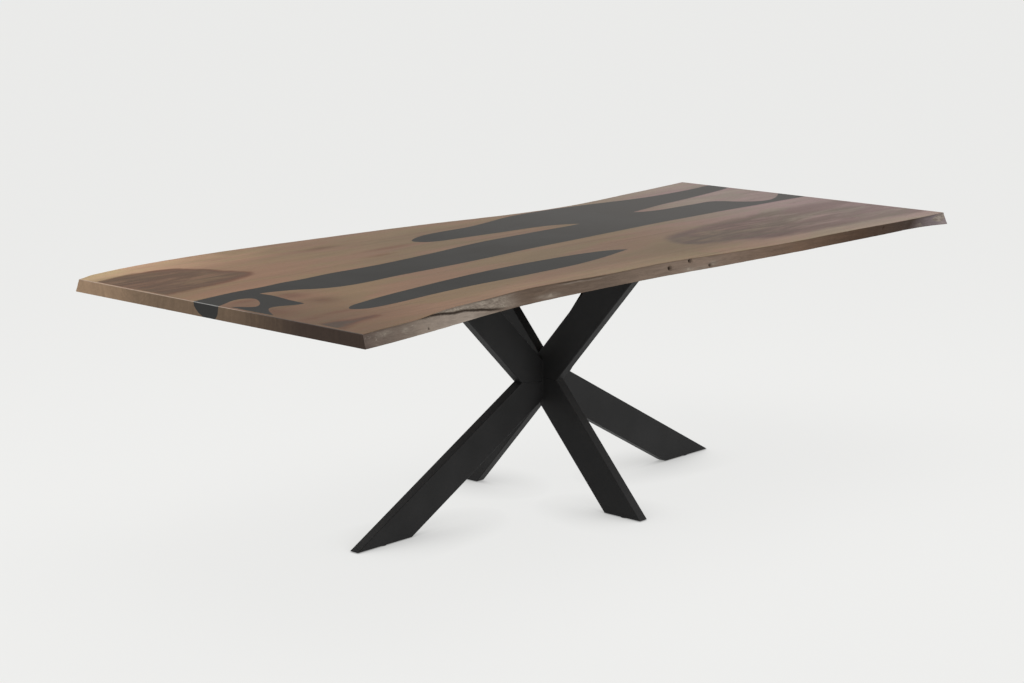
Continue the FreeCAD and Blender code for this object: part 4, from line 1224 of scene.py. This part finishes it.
def pan_screw_mesh(radius, height):
    """A pan-head wood screw with a six-lobed recess and a pointed tip."""
    head = 3.0 * MM
    shank, recess = 0.5 * radius, 0.36 * radius
    rings = [ring_points(recess * across, up * head, lobe_depth=depth)
             for across, up, depth in ((0.5, 0.6, 0.05), (1, 0.55, 0.14), (1, 0.05, 0.14), (1.2, 0.0, 0.0))]
    rings += domed_rings(recess * 1.2, radius, 0.7 * head, (0.25, 0.5, 0.75, 1.0))
    rings += [ring_points(radius, head), ring_points(shank, head), ring_points(shank, 0.75 * height),
              ring_points(0.2 * shank, height)]
    return turned_mesh("pan_screw", rings)


def threaded_stud_mesh(flange_radius, height):
    """A glide's stud: a round flange below, and a rolled thread of one pitch per turn."""
    pitch, steps = 1.5 * MM, 8
    radius, depth = 5.0 * MM, 0.75 * MM
    flange = 1.5 * MM
    rings = [ring_points(flange_radius * 0.97, 0.0), ring_points(flange_radius, 0.1 * flange),
             ring_points(flange_radius, 0.9 * flange), ring_points(flange_radius * 0.97, flange),
             ring_points(radius - depth, flange)]
    for step in range(int((height - 2 * flange) / pitch * steps)):
        level = flange + 0.1 * flange + step * pitch / steps
        ring = []
        for number in range(SEGMENTS):
            turn = number / SEGMENTS
            phase = (step / steps - turn) % 1.0
            reach = radius - depth * (2 * abs(phase - 0.5))
            ring.append((reach * math.cos(2 * math.pi * turn), reach * math.sin(2 * math.pi * turn), level))
        rings.append(ring)
    rings += [ring_points(radius - depth, rings[-1][0][2] + 0.2 * flange),
              ring_points(0.7 * radius, height)]
    return turned_mesh("threaded_stud", rings)


# The pad's outline from its sole's middle round to its top, as shares of its radius and height
PAD_PROFILE = (
    (0.30, 0.0), (0.62, 0.0), (0.66, 0.1), (0.70, 0.1), (0.74, 0.0), (0.93, 0.0), (0.98, 0.1), (1.0, 0.3),
    (1.0, 0.85), (0.97, 1.0),
)


def glide_pad_mesh(radius, height):
    """A moulded pad with a rounded lower rim, a shallow ring on its sole and a seat for the flange."""
    flange = 10.05 * MM
    rings = [ring_points(across * radius, up * height) for across, up in PAD_PROFILE]
    rings += [ring_points(flange, height), ring_points(flange, 0.5 * height)]
    return turned_mesh("glide_pad", rings)


# Weld beads

def bead_tree(material):
    """A rippled bead along each curve: resampled, swelled in step, and skinned round."""
    tree, given, result = new_tree(
        "GeometryNodeTree", "weld bead",
        (("Geometry", "geometry"), ("Bead radius", "value"), ("Ripple pitch", "value")),
        (("Geometry", "geometry"),))
    step = maths(tree, "DIVIDE", given["Ripple pitch"], 3.0)
    evened = add_node(tree, "GeometryNodeResampleCurve", (("Curve", given["Geometry"]), ("Length", step)),
                      mode="LENGTH")
    run = add_node(tree, "GeometryNodeSplineParameter").outputs["Length"]
    turn = product(tree, maths(tree, "DIVIDE", run, given["Ripple pitch"]), 2 * math.pi)
    swell = weighted(tree, 0.9, (maths(tree, "SINE", turn), 0.10))
    radius = product(tree, swell, given["Bead radius"])
    swelled = add_node(tree, "GeometryNodeSetCurveRadius",
                       (("Curve", evened.outputs[0]), ("Radius", radius)))
    circle = add_node(tree, "GeometryNodeCurvePrimitiveCircle", (("Resolution", 10), ("Radius", 1.0)))
    skin = add_node(tree, "GeometryNodeCurveToMesh",
                    (("Curve", swelled.outputs[0]), ("Profile Curve", circle.outputs["Curve"]),
                     ("Scale", radius), ("Fill Caps", True)))
    return close_tree(tree, skin.outputs[0], material, result)


SIDES = {"right": (1, 0, 0), "left": (-1, 0, 0), "back": (0, 1, 0), "front": (0, -1, 0)}


def corners_of(node):
    return [vert.co for vert in nodes[node].data.vertices]


def upright(height):
    return Vector((0, 0, height))


def seam_paths(radius):
    """Lines of the beads: mitres, and the arms under the plates."""
    paths = []
    lift = 0.25 * radius
    for side, direction in SIDES.items():
        direction = Vector(direction)
        across = Vector((-direction.y, direction.x, 0))
        # The outer corner of the tubes where they are mitred at the waist
        waist = max(corners_of(f"leg_{side}"),
                    key=lambda point: (round(point.z, 5), abs(point.x) + abs(point.y)))
        reach = abs(waist.dot(direction))
        arm = corners_of(f"upper_arm_{side}")
        nearest = min(abs(point.dot(direction)) for point in arm)
        inner = max(nearest, tube_half_width)
        low, top = min(point.z for point in arm), max(point.z for point in arm)
        start = low + (waist.z - low) * ((inner - nearest) / max(reach, 1e-6))
        for hand in (-1, 1):
            offset = across * hand * (tube_half_width - 0.4 * radius + lift)
            paths.append([direction * inner + offset + upright(start),
                          direction * (reach - 3 * radius) + offset + upright(waist.z - radius)])
        rim = [point.dot(direction) for point in arm if abs(point.z - top) < IN_PLANE]
        near, far = min(rim), max(rim)
        wide = tube_half_width + lift
        loop = ((near, -wide), (far, -wide), (far, wide), (near, wide), (near, -wide))
        paths.append([direction * x + across * y + upright(top - 0.6 * radius) for x, y in loop])
    return paths


def crossing_paths(radius):
    """Upright beads in the four corners where the short tubes meet the long ones."""
    tubes = corners_of("upper_arm_right") + corners_of("leg_right")
    at_wall = [point.z for point in tubes if abs(point.x - tube_half_width) < IN_PLANE]
    out = tube_half_width + 0.2 * radius
    return [[Vector((x_side * out, y_side * out, height)) for height in (min(at_wall), max(at_wall))]
            for x_side in (-1, 1) for y_side in (-1, 1)]


def make_beads(settings, material):
    curve = bpy.data.curves.new("bead_lines", "CURVE")
    curve.dimensions = "3D"
    for path in seam_paths(settings.bead_radius) + crossing_paths(settings.bead_radius):
        spline = curve.splines.new("POLY")
        spline.points.add(len(path) - 1)
        for point, place in zip(spline.points, path):
            point.co = (*place, 1.0)
    return grown("weld_beads", curve, bead_tree(material),
                 {"Bead radius": settings.bead_radius, "Ripple pitch": settings.ripple_pitch})


# Operators

class RIVER_OT_boards(bpy.types.Operator):
    """Builds the three walnut boards with their live edges, sawn ends and figure"""
    bl_idname = "river_table.boards"
    bl_label = "Walnut boards"

    def execute(self, context):
        settings = context.scene.river_top
        grain = grain_group()
        sawn = walnut_sawn(settings, grain)
        chamfer_highlight = chamfer_highlight_finish("walnut_highlit_chamfer", settings.walnut_chamfer_highlight, settings.dark_shaded_end)
        front = LiveEdge("walnut_front_board", -1, settings, 11.0)
        back = LiveEdge("walnut_back_board", 1, settings, 47.0)
        front_live = walnut_live(settings, "walnut_front_edge", FRONT_EDGE_TONES)
        back_live = walnut_live(settings, "walnut_back_edge", BACK_EDGE_TONES)
        for node, edge, live, pith, seed, sap_share in (
                ("walnut_front_board", front, front_live, -0.30, 0.0, 0.12),
                ("walnut_back_board", back, back_live, 0.28, 5.3, 0.06),
                ("walnut_end_tongue", None, back_live, 0.17, 9.1, 0.0)):
            face = walnut_face(settings, grain, f"{node}_face", pith, seed, sap_share)
            make_board(node, edge, settings, (face, live, sawn, chamfer_highlight))
        return {"FINISHED"}


class RIVER_OT_resin(bpy.types.Operator):
    """Gives the river and the pool their black satin resin"""
    bl_idname = "river_table.resin"
    bl_label = "Black resin"

    def execute(self, context):
        settings = context.scene.river_resin
        resin = black_resin(settings, speckle_group())
        chamfer_highlight = chamfer_highlight_finish("resin_highlit_chamfer", settings.resin_chamfer_highlight, settings.sawn_tone)
        make_casting("river_casting", context.scene.river_top.end_ease, (resin, chamfer_highlight))
        paint("pool_casting", resin)
        return {"FINISHED"}


COATED = ("leg_", "upper_arm_", "head_plate_", "foot_plate_", "stiffening_channel_")


class RIVER_OT_base(bpy.types.Operator):
    """Powder-coats the crossed base and lays its weld beads"""
    bl_idname = "river_table.base"
    bl_label = "Steel base"

    def execute(self, context):
        settings = context.scene.river_steel
        coat = plain_finish("black_powder_coat", speckle_group(), settings.tone, 0.56, grain=650.0,
                            bump=0.12 * MM, specular=0.2)
        for node in nodes:
            if node.startswith(COATED):
                paint(node, coat)
        finish_piece(make_beads(settings, coat), "table", "black_steel")
        return {"FINISHED"}


# Finishes of the small parts: tone, roughness, metallic, grain, lift, bump and specular level
SMALL_FINISHES = {
    "black_oxide": ((0.030, 0.029, 0.028), 0.42, 0.6, 500.0),
    "bright_zinc": ((0.52, 0.53, 0.55), 0.34, 1.0, 260.0, 1.15, 0.02 * MM, 0.5),
    "plain_brass": ((0.62, 0.42, 0.17), 0.36, 1.0, 260.0, 1.15, 0.02 * MM, 0.5),
    "black_nylon": ((0.022, 0.022, 0.023), 0.5, 0.0, 900.0),
}


class RIVER_OT_fasteners(bpy.types.Operator):
    """Makes the bolts, screws and levelling glides, and finishes washers, inserts and nuts"""
    bl_idname = "river_table.fasteners"
    bl_label = "Fasteners and glides"

    def execute(self, context):
        oxide, zinc, brass, nylon = [plain_finish(name, speckle_group(), *numbers)
                                     for name, numbers in SMALL_FINISHES.items()]
        paint("base_washers", oxide)
        paint("threaded_inserts", brass)
        paint("weld_nuts", zinc)
        jobs = [("base_bolts", "table", button_bolt_mesh, oxide, "black_fasteners"),
                ("channel_screws", "table", pan_screw_mesh, zinc, "zinc_steel")]
        for side in ("right", "back", "left", "front"):
            jobs.append((f"glide_stud_{side}", f"glide_{side}", threaded_stud_mesh, zinc, "zinc_steel"))
            jobs.append((f"glide_pad_{side}", f"glide_{side}", glide_pad_mesh, nylon, "glide_plastic"))
        for node, body, make_mesh, material, slot in jobs:
            boxes = islands(node) if body == "table" else [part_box(node)]
            low, high = boxes[0]
            places = [((low.x + high.x) / 2, (low.y + high.y) / 2, low.z) for low, high in boxes]
            part = make_mesh((high.x - low.x) / 2, high.z - low.z)
            finish_piece(set_out(f"{node}_detailed", part, places, material), body, slot, node)
        return {"FINISHED"}


# Stage

MIDDLE = (0.0, 0.0, 0.6)
SENSOR_WIDTH = 36.0
AMBIENT_TINT, AMBIENT_STRENGTH = (1.0, 0.99, 0.975), 0.55
BACKGROUND_STRENGTH = 1.03
SHOWN_FLOOR = 0.92  # share of the floor's own colour in what the camera sees of it

# Lamps: name, place, what it shines at, size, power in watts and tint
LAMPS = (
    ("overhead_softbox", (0.2, 0.3, 3.4), MIDDLE, (4.0, 2.6), 72.0, (1.0, 0.985, 0.96)),
    ("key_softbox", (1.3, -3.9, 2.6), MIDDLE, (2.6, 2.0), 43.0, (1.0, 0.985, 0.965)),
    ("back_left_softbox", (-2.6, 1.6, 1.9), (-1.2, 0.5, 0.74), (1.0, 0.8), 16.0, (1.0, 0.98, 0.95)),
)


def seen_directly(tree):
    """One where the camera sees the surface, or sees it mirrored or through glass."""
    ray = tree.nodes.new("ShaderNodeLightPath").outputs
    seen = maths(tree, "MAXIMUM", ray["Is Camera Ray"], ray["Is Glossy Ray"])
    return maths(tree, "MAXIMUM", seen, ray["Is Transmission Ray"])


def mixed_surface(tree, kind, part, first, second):
    """Mixes two shaders into the surface of an empty tree's output."""
    mix = add_node(tree, "ShaderNodeMixShader", ((0, part), (1, first.outputs[0]), (2, second.outputs[0])))
    tree.links.new(mix.outputs[0], tree.nodes.new(kind).inputs["Surface"])


def floor_material(settings):
    """Pale floor: the camera sees its own colour, softly darkened where the base stands close above it."""
    material = bpy.data.materials.new("pale_floor")
    material.use_nodes = True
    tree = material.node_tree
    tree.nodes.clear()
    lit = add_node(tree, "ShaderNodeBsdfDiffuse", (("Color", settings.pale),))
    openness = add_node(tree, "ShaderNodeAmbientOcclusion", (("Distance", settings.shadow_reach),))
    strength = weighted(tree, 1.0 - settings.shadow_depth, (openness.outputs["AO"], settings.shadow_depth))
    shown = add_node(tree, "ShaderNodeEmission", (("Color", settings.pale), ("Strength", strength)))
    part = product(tree, seen_directly(tree), SHOWN_FLOOR)
    mixed_surface(tree, "ShaderNodeOutputMaterial", part, lit, shown)
    return material


def studio_world(settings):
    world = bpy.data.worlds.new("studio")
    world.use_nodes = True
    tree = world.node_tree
    tree.nodes.clear()
    ambient, shown = [add_node(tree, "ShaderNodeBackground", (("Color", tone), ("Strength", strength)))
                      for tone, strength in ((AMBIENT_TINT, AMBIENT_STRENGTH),
                                             (settings.pale, BACKGROUND_STRENGTH))]
    mixed_surface(tree, "ShaderNodeOutputWorld", seen_directly(tree), ambient, shown)
    return world


def add_lamp(name, place, target, size, power, tint):
    lamp = bpy.data.lights.new(name, "AREA")
    lamp.shape = "RECTANGLE"
    lamp.size, lamp.size_y = size
    lamp.energy = power
    lamp.color = tint
    obj = link(bpy.data.objects.new(name, lamp))
    obj.location = place
    obj.rotation_euler = (Vector(target) - Vector(place)).to_track_quat("-Z", "Y").to_euler()


def add_camera(settings):
    camera = bpy.data.cameras.new("camera")
    camera.lens = settings.focal_length
    camera.sensor_width = SENSOR_WIDTH
    camera.clip_end = 4 * settings.floor_reach
    view = link(bpy.data.objects.new("camera", camera))
    turn = Matrix.Rotation(settings.heading - math.pi / 2, 4, "Z")
    tilt = Matrix.Rotation(math.pi / 2 - settings.pitch, 4, "X")
    lean = Matrix.Rotation(-settings.roll, 4, "Z")
    view.matrix_world = Matrix.Translation(settings.camera_place) @ turn @ tilt @ lean
    return view


class RIVER_OT_stage(bpy.types.Operator):
    """Sets the pale floor, soft studio light and the camera"""
    bl_idname = "river_table.stage"
    bl_label = "Stage"

    def execute(self, context):
        settings = context.scene.river_stage
        bm = bmesh.new()
        bmesh.ops.create_grid(bm, x_segments=1, y_segments=1, size=settings.floor_reach)
        mesh_object("floor", bm, [floor_material(settings)])
        context.scene.world = studio_world(settings)
        for lamp in LAMPS:
            add_lamp(*lamp)
        context.scene.camera = add_camera(settings)
        context.scene.view_settings.view_transform = "Standard"
        return {"FINISHED"}


class RIVER_PT_panel(bpy.types.Panel):
    """Lists the steps of the table in order"""
    bl_idname = "RIVER_PT_panel"
    bl_label = "River table"
    bl_space_type = "VIEW_3D"
    bl_region_type = "UI"
    bl_category = "River table"

    def draw(self, context):
        for step, settings in STEPS:
            box = self.layout.box()
            box.operator(step.bl_idname)
            if settings:
                group = getattr(context.scene, settings)
                for name in group.bl_rna.properties.keys():
                    if name not in ("rna_type", "name"):
                        box.prop(group, name)


STEPS = (
    (RIVER_OT_stage, "river_stage"),
    (RIVER_OT_boards, "river_top"),
    (RIVER_OT_resin, "river_resin"),
    (RIVER_OT_base, "river_steel"),
    (RIVER_OT_fasteners, None),
)
SETTINGS = {
    "river_top": TopSettings,
    "river_resin": ResinSettings,
    "river_steel": SteelSettings,
    "river_stage": StageSettings,
}
CLASSES = (*SETTINGS.values(), *(step for step, _ in STEPS), RIVER_PT_panel)


def register():
    for item in CLASSES:
        bpy.utils.register_class(item)
    for name, group in SETTINGS.items():
        setattr(bpy.types.Scene, name, PointerProperty(type=group))


def unregister():
    for name in SETTINGS:
        delattr(bpy.types.Scene, name)
    for item in reversed(CLASSES):
        bpy.utils.unregister_class(item)


def main():
    register()
    bpy.ops.river_table.stage()
    bpy.ops.river_table.boards()
    bpy.ops.river_table.resin()
    bpy.ops.river_table.base()
    bpy.ops.river_table.fasteners()


if __name__ == "__main__":
    main()
